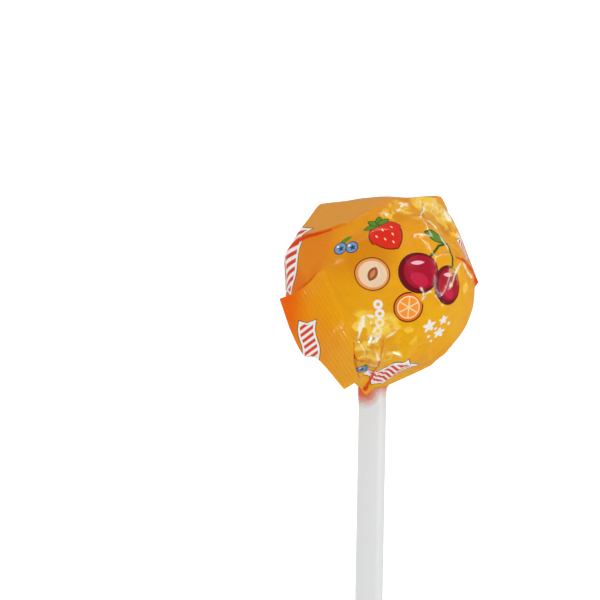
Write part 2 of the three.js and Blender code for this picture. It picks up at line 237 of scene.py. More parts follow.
# Mesh fineness
BALL_ROWS = 212
NECK_ROWS = 26
COLLAR_ROWS = 8
COLUMNS = 380
FRONT_DENSITY = 0.4
FLAP_ROWS = 190
FLAP_COLUMNS = 130
SIDE_FOLD_ROWS = 60
SIDE_FOLD_COLUMNS = 24
TAIL_ROWS = 20
STICK_RINGS = 160
STICK_SIDES = 96


def smoothstep(x, low, high):
    t = np.clip((x - low) / (high - low), 0, 1)
    return t * t * (3 - 2 * t)


def out_at(angle, length=1.0):
    """The point at a turn in degrees and a distance from 0."""
    turn = math.radians(angle)
    return length * math.cos(turn), length * math.sin(turn)


def way_of(turn, rise):
    """The unit vector at a turn round the shown outline and a rise towards the viewer."""
    level, height = out_at(rise)
    return np.array([*out_at(turn, level), height])


def unit(vectors):
    return vectors / np.linalg.norm(vectors, axis=-1, keepdims=True)


def spiral_stretches(count, low, high, distance, spread):
    """Stretches spread evenly along a spiral, between two heights of a ball of radius 1."""
    return [(i * GOLDEN_TURN, math.degrees(math.asin(low + (high - low) * (i + 0.5) / count)),
             distance + spread * math.sin(3.7 * i + 0.8)) for i in range(count)]


def clear_of_corners(stretch):
    way = way_of(*stretch[:2])
    return all(way @ way_of(turn, rise) < math.cos(math.radians(reach))
               for turn, rise, reach in TALL_CORNERS)


def all_stretches():
    small = [s for s in spiral_stretches(*SMALL_STRETCHES) if clear_of_corners(s)]
    rows = OUTLINE_STRETCHES + FRONT_STRETCHES + spiral_stretches(*BACK_STRETCHES) + small
    return [(way_of(turn, rise), distance) for turn, rise, distance in rows]


STRETCHES = all_stretches()


def on_front(x, y):
    """A point of the shown side, seen from the front, set on a ball of the film's size."""
    return np.array([x, y, math.sqrt(max(SLACK_RADIUS ** 2 - x * x - y * y, 0))])


def taut_radius(ways):
    """The film's distance from the ball's middle, without its creases."""
    limit = SLACK_RADIUS + SLACK_PEAK * smoothstep(ways[:, 1], 0, 0.75)
    total = limit ** -STRETCH_SHARPNESS
    for way, distance in STRETCHES:
        total += (np.maximum(ways @ way, 0) / distance) ** STRETCH_SHARPNESS
    taut = total ** (-1 / STRETCH_SHARPNESS)
    over = (taut / CANDY_RADIUS) ** CANDY_SHARPNESS
    return CANDY_RADIUS * (1 + over) ** (1 / CANDY_SHARPNESS)


def near_line(ways, line):
    """How far points of the film are from a line of the shown side, on which side, and whereabouts."""
    here = ways * SLACK_RADIUS
    corners = [on_front(x, y) for x, y in line]
    lengths = [np.linalg.norm(b - a) for a, b in zip(corners, corners[1:])]
    away = np.full(len(ways), np.inf)
    side = np.zeros(len(ways))
    share = np.zeros(len(ways))
    done = 0.0
    for a, b, length in zip(corners, corners[1:], lengths):
        t = np.clip((here - a) @ (b - a) / length ** 2, 0, 1)
        off = np.linalg.norm(here - a - t[:, None] * (b - a), axis=1)
        nearer = off < away
        away = np.where(nearer, off, away)
        side = np.where(nearer, here @ unit(np.cross(a, b)), side)
        share = np.where(nearer, (done + t * length) / sum(lengths), share)
        done += length
    return away, side, share


def fading_ends(share, reach):
    return smoothstep(share, 0, reach) * smoothstep(1 - share, 0, reach)


def crease_relief(ways):
    """How much the laps and ridges add to the film's radius."""
    relief = np.zeros(len(ways))
    for rows, is_lap in ((LAPS, True), (RIDGES, False)):
        for line, height, width, *_ in rows:
            away, side, share = near_line(ways, line)
            slope = np.exp(-(np.hypot(away, CREST) - CREST) / width)
            shown = smoothstep(side, -LAP_EDGE, LAP_EDGE) if is_lap else 1
            relief += height * fading_ends(share, 0.18) * slope * shown
    return relief


def lap_distance(ways):
    """How far places are from the nearest lap's edge, in millimetres up to 1, and the strength of its painted
    shade.
    """
    nearest = np.ones(len(ways))
    strength = np.zeros(len(ways))
    for line, _, _, start, end in LAPS:
        away, side, share = near_line(ways, line)
        faded = np.where(away < 0.9, np.abs(side + 0.08) + 1 - fading_ends(share, 0.1), 1)
        strength = np.where(faded < nearest, start + (end - start) * share, strength)
        nearest = np.minimum(nearest, faded)
    return nearest, strength


def ridge_place(ways):
    """Distance from the nearest ridge's line, signed by its side, its strength and its painted highlight."""
    nearest = np.full(len(ways), 2.0)
    signed = np.full(len(ways), 2.0)
    strength = np.zeros(len(ways))
    pale = np.zeros(len(ways))
    for line, height, _, rubbed in RIDGES:
        away, side, share = near_line(ways, line)
        nearer = away < nearest
        ends = fading_ends(share, 0.15) * (1 - smoothstep(away, 0.45, 0.75))
        nearest = np.where(nearer, away, nearest)
        signed = np.where(nearer, np.copysign(away, side), signed)
        strength = np.where(nearer, ends * np.sign(height), strength)
        pale = np.where(nearer, ends * rubbed, pale)
    return signed, strength, pale


def fold_share(ways):
    """Where the painted shade inside folds shows, in red-orange."""
    total = np.zeros(len(ways))
    for line, half_width, left in FOLD_STROKES:
        away, _, share = near_line(ways, line)
        half = half_width * (1 + (left - 1) * share)
        total = np.maximum(total, 1 - smoothstep(away, 0.5 * half, half))
    return total


def wedge_share(points):
    """The same painted shade for the wedge that opens in front towards the film's tip."""
    start, end, narrow, wide = (np.array(part) for part in FOLD_WEDGE)
    run = (points[:, :2] - start) @ (end - start) / np.sum((end - start) ** 2)
    off = points[:, :2] - start - np.clip(run, 0, 1)[:, None] * (end - start)
    half = narrow + (wide - narrow) * np.clip(run, 0, 1) ** 2
    away = np.hypot(off[:, 0], off[:, 1])
    return (1 - smoothstep(away, 0.6 * half, half)) * (points[:, 2] > 0)


def front_spots(ways, spots):
    """The strongest of the spots of the shown side at each place."""
    total = np.zeros(len(ways))
    for x, y, reach, strength in spots:
        total = np.maximum(total, strength * near_front_spot(ways, x, y, reach))
    return total * (ways[:, 2] > -0.2)


def crumple(points):
    """Flat little faces with straight, sharp edges between them, as crumpled film has."""
    seed, count, shortest, longest, slope = CRUMPLES
    rng = np.random.default_rng(seed)
    relief = np.zeros(len(points))
    for i in range(count):
        way, bend = rng.normal(size=(2, 3))
        way /= np.linalg.norm(way)
        length = shortest * (longest / shortest) ** (i / (count - 1))
        warp = 0.3 * np.sin(points @ bend / (1.3 * length) + rng.uniform(0, TAU))
        wave = (points @ way / length + warp + rng.random()) % 1
        patch = 0.5 + 0.5 * np.sin(points @ rng.normal(size=3) / (2.2 * length) + rng.uniform(0, TAU))
        relief += slope * length * (2 * np.abs(wave - 0.5) - 0.5) * patch
    return relief


def gather(turn):
    """The pleats that run into the neck: sharp on top, round between."""
    wave = np.abs(np.sin(0.5 * GATHER_COUNT * turn + 0.9 * np.sin(turn + 1.1)))
    return 1 - 2 * wave ** 0.8


def fine_gather(turn):
    """Narrower, uneven pleats between the large ones."""
    wave = np.abs(np.sin(11.5 * turn + 1.7 * np.sin(3 * turn + 0.4) + 0.8 * np.sin(5 * turn)))
    return (1 - 1.6 * wave ** 0.7) * (0.6 + 0.4 * np.sin(2 * turn + 0.5))


def from_top(ways):
    return np.degrees(np.arccos(np.clip(ways[:, 1], -1, 1)))


def near_front_spot(ways, x, y, radius):
    """1 at a spot of the shown side, fading to 0 at the given distance from it."""
    spot = on_front(x, y)
    away = np.linalg.norm(ways * np.linalg.norm(spot) - spot, axis=1)
    return 1 - smoothstep(away, 0.4 * radius, radius)


def add_spots(total, ways, spots):
    """Adds the strengths of spots of the shown side to a number for each place."""
    for x, y, reach, strength in spots:
        total = total + strength * near_front_spot(ways, x, y, reach)
    return total


def crumpled_share(ways):
    """Where the film is crumpled: high on the right, round the neck, under the flap and behind."""
    share = add_spots(0.22, ways, CRUMPLED_SPOTS)
    share += 0.45 * smoothstep(-ways[:, 2], -0.1, 0.5)
    share += 0.5 * smoothstep(from_top(ways), 118, 142)
    return share * (1 - 0.85 * near_front_spot(ways, -5.0, 10.5, 6.0))


def under_flap(ways):
    """1 well under the flap, 0 outside its joined edge and its upper edge."""
    join, join_side, _ = near_line(ways, FLAP_JOIN + [(-3.2, -12.2)])
    top, top_side, _ = near_line(ways, [FLAP_TOP[0], FLAP_TOP[2], (-13.6, -1.6)])
    inside = np.where((join_side < 0) & (top_side > 0), smoothstep(ways[:, 2], -0.3, 0.1), 0)
    return inside * smoothstep(join, 0.1, 1.6) * smoothstep(top, 0.1, 1.3)


def film_radius(ways):
    """The film's distance from the ball's middle."""
    radius = taut_radius(ways) + crease_relief(ways) - under_flap(ways)
    radius += crumpled_share(ways) * crumple(ways * CANDY_RADIUS)
    turn = np.arctan2(ways[:, 2], ways[:, 0])
    gathered = smoothstep(from_top(ways), GATHER_START, NECK_ANGLE)
    radius += gathered * 0.5 * GATHER_HEIGHT * gather(turn)
    return radius + 0.18 * smoothstep(from_top(ways), 122, NECK_ANGLE) * fine_gather(turn)


def film_depth(x, y, radius_of=film_radius):
    """How far towards the viewer the film stands over points seen from the front."""
    flat = x * x + y * y
    depth = np.sqrt(np.maximum(SLACK_RADIUS ** 2 - flat, 0))
    for _ in range(10):
        radius = radius_of(unit(np.column_stack([x, y, depth])))
        depth = np.sqrt(np.maximum(radius ** 2 - flat, 0))
    return depth


def film_turns():
    """The turns of the film's columns, denser on the shown side."""
    even = TAU * np.arange(COLUMNS) / COLUMNS
    return even + FRONT_DENSITY * np.cos(even)


def stick_ring(radius, y, turn):
    """A ring of points round the stick; radius and y may be numbers or one for each point."""
    x = STICK_OFFSET + radius * np.cos(turn)
    return np.column_stack([x, np.broadcast_to(y, len(turn)), radius * np.sin(turn)])


def pressed_flat(points):
    """Whatever would reach under the floor is pressed flat onto it."""
    under = np.maximum(points @ FLOOR_WAY - REST_HEIGHT, 0)
    return points - under[:, None] * FLOOR_WAY


def ball_middle():
    """Where the frame has the middle of the candy ball, in metres."""
    low, high = (np.array(corner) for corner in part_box("stick"))
    edge = (STICK_RADIUS - STICK_END_ROUNDING) * MM
    far_end = low[1] + edge * math.sin(REST_ANGLE)
    return Vector((
        0.5 * (low[0] + high[0]) - STICK_OFFSET * MM,
        far_end + STICK_REACH * MM * math.cos(REST_ANGLE),
        REST_HEIGHT * MM,
    ))


def lie():
    """From the lollipop's own frame, in millimetres, to the place in which it lies, in metres."""
    turned = Matrix.Rotation(REST_ANGLE, 4, "X") @ Matrix.Scale(MM, 4)
    return Matrix.Translation(ball_middle()) @ turned


def laid_down(points):
    place = np.array(lie())
    return points @ place[:3, :3].T + place[:3, 3]


# Meshes

def new_object(name, data):
    made = bpy.data.objects.new(name, data)
    bpy.context.scene.collection.objects.link(made)
    return made


def mesh_piece(name, points, faces, material=None):
    """A smooth mesh object from points in the lollipop's own frame, faced outwards."""
    mesh = bpy.data.meshes.new(name)
    mesh.from_pydata(laid_down(points).tolist(), [], faces)
    mesh.validate()
    mesh.shade_smooth()
    if material is not None:
        mesh.materials.append(material)
    face_outwards(mesh)
    return new_object(name, mesh)


def face_outwards(mesh):
    """Turns the whole mesh round if it encloses a negative volume."""
    shape = bmesh.new()
    shape.from_mesh(mesh)
    if shape.calc_volume(signed=True) < 0:
        bmesh.ops.reverse_faces(shape, faces=shape.faces)
        shape.to_mesh(mesh)
    shape.free()


def add_attributes(piece, domain="POINT", **layers):
    """Attributes by name, each one number or one for each point or face."""
    for name, values in layers.items():
        layer = piece.data.attributes.new(name, "FLOAT", domain)
        layer.data.foreach_set("value", np.full(len(layer.data), values, dtype=np.float32))


def add_print(piece, kinds, plan):
    """The motif's kind for each face, and the place within it for each corner of each face."""
    add_attributes(piece, "FACE", motif=kinds)
    layer = piece.data.uv_layers.new(name="print")
    layer.data.foreach_set("uv", np.asarray(plan, dtype=np.float32).ravel())


def corners_and_faces(piece):
    """For each corner of each face: its point and its face."""
    corners = np.empty(len(piece.data.loops), dtype=np.int32)
    piece.data.loops.foreach_get("vertex_index", corners)
    totals = np.empty(len(piece.data.polygons), dtype=np.int32)
    piece.data.polygons.foreach_get("loop_total", totals)
    return corners, np.repeat(np.arange(len(totals)), totals)


def face_means(faces, values):
    """The mean over each face's corners of a number for each corner."""
    return np.bincount(faces, weights=values) / np.bincount(faces)


def ring_quads(near, far, count):
    """Quads between two rings of a tube, each given by its first point."""
    return [(near + i, near + (i + 1) % count, far + (i + 1) % count, far + i) for i in range(count)]


def tube_faces(rings, count):
    """Quads between rings of equal length, closed by a fan to a point at each end."""
    last = 1 + rings * count
    end = last - count
    faces = []
    for i in range(count):
        j = (i + 1) % count
        faces += [(0, 1 + j, 1 + i), (last, end + i, end + j)]
    for near in range(1, end, count):
        faces += ring_quads(near, near + count, count)
    return faces


def film_tip(turn):
    """How far down the stick the gathered film reaches: uneven, with one long point in front."""
    point = np.maximum(1 - np.abs((np.degrees(turn) - 116 + 180) % 360 - 180) / 45, 0)
    teeth = 0.5 + 0.5 * np.sin(7 * turn + 1.2 * np.sin(2 * turn))
    return COLLAR_TOP + 0.12 + 0.25 * teeth + 1.1 * point


def ball_film():
    """The rings of the film: down the ball, in to the neck, over its tip and up the stick's hole."""
    turn = film_turns()
    tops = np.radians(NECK_ANGLE) * np.arange(1, BALL_ROWS + 1) / BALL_ROWS
    top, around = (grid.ravel() for grid in np.meshgrid(tops, turn, indexing="ij"))
    ways = np.column_stack([np.sin(top) * np.cos(around), np.cos(top), np.sin(top) * np.sin(around)])
    ball = ways * film_radius(ways)[:, None]
    pole = np.array([[0.0, 1.0, 0.0]])
    brim = ball[-COLUMNS:]
    pleat = 0.5 * gather(turn) + 0.35 * fine_gather(turn)
    throat = COLLAR_RADIUS + PLEAT_HEIGHT * pleat
    collar = stick_ring(throat, -COLLAR_TOP, turn)
    out = stick_ring(1.0, 0.0, turn) - [STICK_OFFSET, 0, 0]
    rings = [ball]
    for row in range(1, NECK_ROWS + 1):
        share = row / NECK_ROWS
        bulge = NECK_BULGE * math.sin(math.pi * share) * pleat
        rings.append(brim + (collar - brim) * share + out * bulge[:, None])
    tip = -film_tip(turn)
    for row in range(1, COLLAR_ROWS + 1):
        share = row / COLLAR_ROWS
        narrow = throat * (1 - share) + (BORE_RADIUS + 0.12) * share
        rings.append(stick_ring(narrow, -COLLAR_TOP + (tip + COLLAR_TOP) * share, turn))
    for share in BORE_SHARES:
        rings.append(stick_ring(BORE_RADIUS, tip + (BORE_END - tip) * share, turn))
    points = np.vstack([pole * film_radius(pole)[0], *rings, [[STICK_OFFSET, BORE_END, 0.0]]])
    return pressed_flat(points), len(points) // COLUMNS


def coons(u, v, join, side, top, foot):
    """The patch that fills four edge curves, at grids of u across and v along."""
    across = join(v) * (1 - u)[:, None] + side(v) * u[:, None]
    along = top(u) * (1 - v)[:, None] + foot(u) * v[:, None]
    zero, one = np.zeros(1), np.ones(1)
    near = top(zero) * (1 - v)[:, None] + foot(zero) * v[:, None]
    far = top(one) * (1 - v)[:, None] + foot(one) * v[:, None]
    return across + along - near * (1 - u)[:, None] - far * u[:, None]


def smooth_curve(corners):
    """A curve through the corners, as a function of shares from 0 to 1."""
    p = np.array([(*corner, 0.0)[:3] for corner in corners])
    p = np.vstack([2 * p[0] - p[1], p, 2 * p[-1] - p[-2]])
    spans = len(corners) - 1

    def at(share):
        place = np.clip(share, 0, 1) * spans
        i = np.minimum(place.astype(int), spans - 1)
        t = (place - i)[:, None]
        a, b, c, d = p[i], p[i + 1], p[i + 2], p[i + 3]
        return 0.5 * (2 * b + (c - a) * t + (2 * a - 5 * b + 4 * c - d) * t ** 2
                      + (3 * b - a - 3 * c + d) * t ** 3)

    return at


def flap_sheet():
    """The flap's outer face: it leaves the ball on the tangent at its joined edge."""
    join, side, top, foot = (smooth_curve(c) for c in (FLAP_JOIN, FLAP_SIDE, FLAP_TOP, FLAP_FOOT))

    def flat_side(share):
        return side(share) * [1, 1, 0]

    v_line = np.linspace(0, 1, FLAP_ROWS)
    u_line = np.linspace(0, 1, FLAP_COLUMNS)
    start = join(v_line)
    end_depth = side(v_line)[:, 2]
    out = flat_side(v_line) - start
    length = np.linalg.norm(out, axis=1)
    out /= length[:, None]
    smooth_start = film_depth(start[:, 0], start[:, 1], taut_radius)
    nudge = 0.3
    ahead = start + nudge * out
    slope = (film_depth(ahead[:, 0], ahead[:, 1], taut_radius) - smooth_start) / nudge
    actual = film_depth(start[:, 0], start[:, 1])
    v, u = (grid.ravel() for grid in np.meshgrid(v_line, u_line, indexing="ij"))
    row = np.repeat(np.arange(FLAP_ROWS), FLAP_COLUMNS)
    sheet = coons(u, v, join, flat_side, top, foot)
    middle = smooth_start + 0.5 * slope * length
    near = smooth_start[row] * (1 - u) + middle[row] * u
    far = middle[row] * (1 - u) + end_depth[row] * u
    sheet[:, 2] = near * (1 - u) + far * u + (actual - smooth_start)[row] * (1 - u) ** 5
    tucks = []
    for back in np.linspace(FLAP_TUCK, 0, FLAP_TUCK_STEPS, endpoint=False):
        tucked = start - back * out
        tucked[:, 2] = film_depth(tucked[:, 0], tucked[:, 1]) - TUCK_DEPTH - TUCK_SLOPE * back
        tucks.append(tucked[:, None, :])
    return np.concatenate(tucks + [sheet.reshape(FLAP_ROWS, FLAP_COLUMNS, 3)], axis=1)


def sheet_faces(rows, width):
    """Faces of a sheet's two sides and its rim, for points listed front side first."""
    index = np.arange(rows * width).reshape(rows, width)
    far = rows * width
    a, b, c, d = index[:-1, :-1], index[:-1, 1:], index[1:, 1:], index[1:, :-1]
    sides = np.stack([a, b, c, d, far + a, far + d, far + c, far + b], axis=-1).reshape(-1, 4)
    rim = np.concatenate([index[0], index[1:, -1], index[-1, -2::-1], index[-2:0:-1, 0]])
    ahead = np.roll(rim, -1)
    return np.vstack([sides, np.column_stack([ahead, rim, far + rim, far + ahead])]).tolist()


def sheet_piece(name, grid, thickness, material=None):
    """A thin piece from the grid of its outer face, and its points, outer face first."""
    out = unit(np.cross(np.gradient(grid, axis=0), np.gradient(grid, axis=1)))
    if np.sum(out * grid) < 0:
        out = -out
    points = np.vstack([grid.reshape(-1, 3), (grid - thickness * out).reshape(-1, 3)])
    return mesh_piece(name, points, sheet_faces(*grid.shape[:2]), material), points


# The print: each face of the film holds its place within the nearest motif, and the motif's kind

CHERRIES, STRAWBERRY, ORANGE, PEACH, BERRIES, STARS, RINGS, RIBBON, LONG_RIBBON = range(1, 10)
MOTIF_ROOM = {CHERRIES: 4.8, STRAWBERRY: 3.1, ORANGE: 2.2, PEACH: 2.4, BERRIES: 2.0, STARS: 2.6,
              RINGS: 2.1, RIBBON: 3.4, LONG_RIBBON: 4.2}
# Motifs of the shown side: kind, place seen from the front, turn in degrees and size
FRONT_MOTIFS = [
    (CHERRIES, 7.4, 2.6, -28, 1.2), (STRAWBERRY, -0.2, 7.5, 40, 1.15), (BERRIES, -5.6, 5.4, 20, 1.1),
    (PEACH, -1.9, 1.7, -15, 1.15), (ORANGE, 3.3, -2.9, 10, 1.1), (STARS, 7.6, -6.0, 20, 1.1),
    (RINGS, -0.9, -5.2, 84, 1.15), (LONG_RIBBON, -12.9, 3.6, 84, 1.35), (RIBBON, 1.3, -12.6, 44, 1.35),
    (BERRIES, -2.3, -12.4, -25, 0.9), (RIBBON, 11.75, 5.8, -70, 0.6),
]
FLAP_MOTIF = (RIBBON, -10.35, -7.8, -84, 0.97)
# Motifs of the rest of the ball, along a spiral: none by the neck and none on the shown side
SPIRAL_MOTIFS = 34
SPIRAL_SIZE = 0.9
SPIRAL_LOWEST = -0.72
SPIRAL_FOREMOST = 0.12
BARE_SPOT = (-5.5, 11.4, 11.0)
SPIRAL_KINDS = (RIBBON, CHERRIES, STARS, ORANGE, STRAWBERRY, RINGS, PEACH, RIBBON, BERRIES, STARS)


def spot_way(x, y):
    return unit(on_front(x, y))


def film_motifs():
    """All motifs of the ball film: kind, way from the ball's middle, turn and size."""
    rows = [(kind, spot_way(x, y), turn, size) for kind, x, y, turn, size in FRONT_MOTIFS]
    for i in range(SPIRAL_MOTIFS):
        height = 0.98 - 1.96 * (i + 0.5) / SPIRAL_MOTIFS
        x, z = out_at(i * GOLDEN_TURN + 40, math.sqrt(1 - height * height))
        way = np.array([x, height, z])
        kind = SPIRAL_KINDS[i % len(SPIRAL_KINDS)]
        free = min(SLACK_RADIUS * math.acos(np.clip(way @ other[1], -1, 1))
                   - MOTIF_ROOM[other[0]] * other[3] for other in rows)
        bare = near_front_spot(way[None, :], *BARE_SPOT)[0] > 0
        behind = height >= SPIRAL_LOWEST and z <= SPIRAL_FOREMOST
        if behind and free >= SPIRAL_SIZE * MOTIF_ROOM[kind] and not bare:
            rows.append((kind, way, 137 * i % 360, SPIRAL_SIZE))
    return rows


def motif_plan(ways, faces_ways, face_index, motifs):
    """For corners in the given ways: kind by face, and place within the motif by corner."""
    kinds, middles, turns, sizes = (np.array(column) for column in zip(*motifs))
    rooms = np.array([MOTIF_ROOM[kind] for kind in kinds]) * sizes
    away = SLACK_RADIUS * np.arccos(np.clip(faces_ways @ middles.T, -1, 1))
    nearest = np.argmin(away - rooms, axis=1)
    chosen = nearest[face_index]
    right = unit(np.cross([0.0, 1.0, 0.0], middles))
    up = np.cross(middles, right)
    angle = np.radians(turns)[:, None]
    frames = np.stack([np.cos(angle) * right + np.sin(angle) * up,
                       np.cos(angle) * up - np.sin(angle) * right], axis=1)[chosen]
    along = np.clip(np.sum(ways * middles[chosen], axis=1), -1, 1)
    offset = ways - along[:, None] * middles[chosen]
    spread = np.arccos(along) * SLACK_RADIUS / np.maximum(np.linalg.norm(offset, axis=1), 1e-9)
    plan = np.einsum("ijk,ik->ij", frames, offset) * (spread / sizes[chosen])[:, None]
    return kinds[nearest], plan


# Nodes

class Number:
    """A number in a node tree: arithmetic on it adds Math nodes."""

    def __init__(self, maker, socket):
        self.maker = maker
        self.socket = socket

    def math(self, operation, *others, clamp=False):
        return self.maker.number("ShaderNodeMath", dict(enumerate([self, *others])),
                                 operation=operation, use_clamp=clamp)

    def __add__(self, other):
        return self.math("ADD", other)

    def __sub__(self, other):
        return self.math("SUBTRACT", other)

    def __rsub__(self, other):
        return self.math("MULTIPLY_ADD", -1.0, other)

    def __mul__(self, other):
        return self.math("MULTIPLY", other)

    def __truediv__(self, other):
        return self.math("DIVIDE", other)

    def __abs__(self):
        return self.math("ABSOLUTE")

    def least(self, other):
        return self.math("MINIMUM", other)

    def most(self, other):
        return self.math("MAXIMUM", other)

    def sine(self):
        return self.math("SINE")

    def wave(self, length):
        """Up and down between 0 and the length in straight lines."""
        return self.math("PINGPONG", length)

    def under(self, limit, soft):
        """1 where this is under the limit, 0 where it is over it, with a soft edge."""
        return self.math("MULTIPLY_ADD", -1.0 / soft, limit / soft + 0.5, clamp=True)

    def over(self, limit, soft):
        return self.math("MULTIPLY_ADD", 1.0 / soft, 0.5 - limit / soft, clamp=True)


class NodeMaker:
    """Adds nodes to a node tree."""

    def __init__(self, tree):
        self.nodes, self.links = tree.nodes, tree.links

    def give(self, socket, value):
        """Sets a socket's value, or links it."""
        if isinstance(value, Number):
            value = value.socket
        if isinstance(value, bpy.types.NodeSocket):
            self.links.new(value, socket)
        elif socket.type == "RGBA" and len(value) == 3:
            socket.default_value = (*value, 1.0)
        else:
            socket.default_value = value

    def node(self, kind, inputs=None, output=0, **settings):
        """One output of a new node, after its settings and its sockets' values or links."""
        node = self.nodes.new(kind)
        for name, value in settings.items():
            setattr(node, name, value)
        for key, value in (inputs or {}).items():
            self.give(node.inputs[key], value)
        return node.outputs[output]

    def number(self, kind, inputs=None, output=0, **settings):
        return Number(self, self.node(kind, inputs, output, **settings))

    def vector(self, operation, *values, **named):
        return self.node("ShaderNodeVectorMath", {**dict(enumerate(values)), **named}, operation=operation)

    def measure(self, operation, *values):
        """A vector operation that gives a number."""
        return self.number("ShaderNodeVectorMath", dict(enumerate(values)), "Value", operation=operation)


class Shader(NodeMaker):
    """The node tree of one new material, ended by a Principled shader."""

    def __init__(self, name):
        self.material = bpy.data.materials.new(name)
        self.material.use_nodes = True
        super().__init__(self.material.node_tree)
        self.surface = self.nodes["Principled BSDF"]

    def set(self, **values):
        """Values or links for the Principled shader's sockets, spaces in names as underscores."""
        for name, value in values.items():
            self.give(self.surface.inputs[name.replace("_", " ")], value)

    def attribute(self, name):
        return self.number("ShaderNodeAttribute", output="Fac", attribute_name=name)

    def place(self):
        return self.node("ShaderNodeTexCoord", output="Object")

    def noise(self, vector, scale, detail, roughness):
        return self.number("ShaderNodeTexNoise", {"Vector": vector, "Scale": scale, "Detail": detail,
                                                  "Roughness": roughness}, "Fac")

    def mix(self, share, low, high):
        return self.node("ShaderNodeMix", {0: share, 6: low, 7: high}, 2, data_type="RGBA")

    def dot(self, vector, way):
        return self.measure("DOT_PRODUCT", vector, tuple(float(part) for part in way))

    def bump(self, height, distance, strength=1.0):
        return self.node("ShaderNodeBump", {"Height": height, "Distance": distance, "Strength": strength})


# The motifs, drawn in millimetres round their middles

class Drawing:
    """Layers of flat colour for one motif."""

    def __init__(self, shader, plan, ground):
        self.shader = shader
        self.plan = plan
        self.colour = ground
        self.edge = 0.05

    def away(self, x, y, stretch=(1, 1)):
        """Distance from a spot; a stretch over 1 makes what is drawn narrower that way."""
        plan = self.plan
        if stretch != (1, 1):
            plan = self.shader.vector("MULTIPLY", plan, (*stretch, 0))
        return self.shader.measure("DISTANCE", plan, (x * stretch[0], y * stretch[1], 0))

    def disc(self, x, y, radius, stretch=(1, 1)):
        return self.away(x, y, stretch).under(radius, self.edge)

    def ahead(self, angle):
        """How far places lie ahead in a direction."""
        return self.shader.measure("DOT_PRODUCT", self.plan, (*out_at(angle), 0))

    def stroke(self, ax, ay, bx, by, width):
        """A line with round ends."""
        length = math.hypot(bx - ax, by - ay)
        way = ((bx - ax) / length, (by - ay) / length, 0)
        from_start = self.shader.vector("SUBTRACT", self.plan, (ax, ay, 0))
        run = self.shader.measure("DOT_PRODUCT", from_start, way).most(0.0).least(length)
        nearest = self.shader.vector("SCALE", way, Scale=run)
        return self.shader.measure("DISTANCE", from_start, nearest).under(width / 2, self.edge)

    def leaf(self, x, y, angle, length, width):
        """Two arcs that meet in points."""
        bend = (length * length - width * width) / (4 * width)
        across, up = out_at(angle + 90, bend)
        one, other = (self.disc(x + way * across, y + way * up, bend + width / 2) for way in (1, -1))
        return one.least(other)

    def star(self, x, y, radius):
        """Five points, drawn by folding the turn round the middle."""
        off = self.shader.vector("SUBTRACT", self.plan, (x, y, 0))
        parts = [self.shader.number("ShaderNodeSeparateXYZ", {0: off}, i) for i in range(2)]
        fold = parts[0].math("ARCTAN2", parts[1]).wave(math.pi / 5)
        reach = self.shader.measure("LENGTH", off)
        return (reach + fold * (radius * 0.55 * 5 / math.pi)).under(radius, self.edge)

    def paint(self, mask, colour, share=1.0):
        self.colour = self.shader.mix(mask * share if share != 1.0 else mask, self.colour, colour)


def srgb(red, green, blue):
    """A colour given as it looks on a screen, 0 to 255, as the linear light that Blender takes."""
    parts = (red / 255, green / 255, blue / 255)
    return tuple(part / 12.92 if part <= 0.04045 else ((part + 0.055) / 1.055) ** 2.4 for part in parts)


INK = srgb(70, 30, 20)
WHITE = srgb(240, 236, 232)
CRIMSON = srgb(172, 14, 44)
CRIMSON_DARK = srgb(112, 8, 28)
CRIMSON_LIGHT = srgb(214, 34, 76)
PINK = srgb(246, 190, 200)
SCARLET = srgb(222, 42, 24)
LEAF = srgb(92, 140, 34)
LEAF_DARK = srgb(46, 88, 24)
SKIN_OF_PEACH = srgb(238, 150, 84)
FLESH = srgb(240, 208, 172)
STONE = srgb(150, 82, 46)
BLUE = srgb(120, 152, 192)
BLUE_DARK = srgb(48, 66, 104)
ORANGE_PEEL = srgb(240, 112, 24)
ORANGE_FLESH = srgb(252, 150, 48)
PITH = srgb(252, 222, 170)
STRIPE = srgb(214, 62, 30)


def draw_cherries(art):
    for stalk in ((-1.6, 0.6, -0.7, 2.9), (-0.7, 2.9, 0.7, 4.3), (2.1, 1.0, 1.6, 2.9), (1.6, 2.9, 0.7, 4.3)):
        art.paint(art.stroke(*stalk, 0.3), LEAF_DARK)
    for length, width, colour in ((3.6, 1.6, LEAF_DARK), (3.2, 1.3, LEAF)):
        art.paint(art.leaf(-1.3, 4.0, 12, length, width), colour)
    for x, y, radius in ((-2.1, -1.6, 2.5), (2.3, -0.9, 2.35)):
        art.paint(art.disc(x, y, radius), INK)
        art.paint(art.disc(x, y, radius - 0.13), CRIMSON_DARK)
        art.paint(art.disc(x + 0.2, y + 0.22, radius - 0.42), CRIMSON)
        art.paint(art.disc(x + 0.42, y - 0.7, radius - 1.35, (1, 1.5)), CRIMSON_LIGHT, 0.7)
        art.paint(art.leaf(x - 0.55, y + 1.1, 28, 1.7, 0.5), PINK)


def draw_strawberry(art):
    for grow, colour in ((0.13, INK), (0.0, SCARLET)):
        top = art.disc(0.1, -0.1, 2.15 + grow, (1.0, 1.25)).least(art.ahead(-90).under(0.4, 0.1))
        left, right = (art.disc(x, 0.35, 3.05 + grow) for x in (1.15, -0.95))
        lower = left.least(right).least(art.ahead(-90).over(-0.2, 0.1))
        art.paint(top.most(lower), colour)
    for x, y in ((-1.1, 0.2), (0.0, 0.4), (1.2, 0.15), (-0.5, -0.7), (0.65, -0.75), (0.1, -1.6)):
        art.paint(art.leaf(x, y, 90, 0.42, 0.2), PITH)
    for angle in (150, 100, 50, 5):
        x, y = out_at(angle)
        for length, width, colour in ((2.0, 0.95, LEAF_DARK), (1.7, 0.7, LEAF)):
            art.paint(art.leaf(0.1 + 0.95 * x, 1.45 + 0.6 * y, angle, length, width), colour)


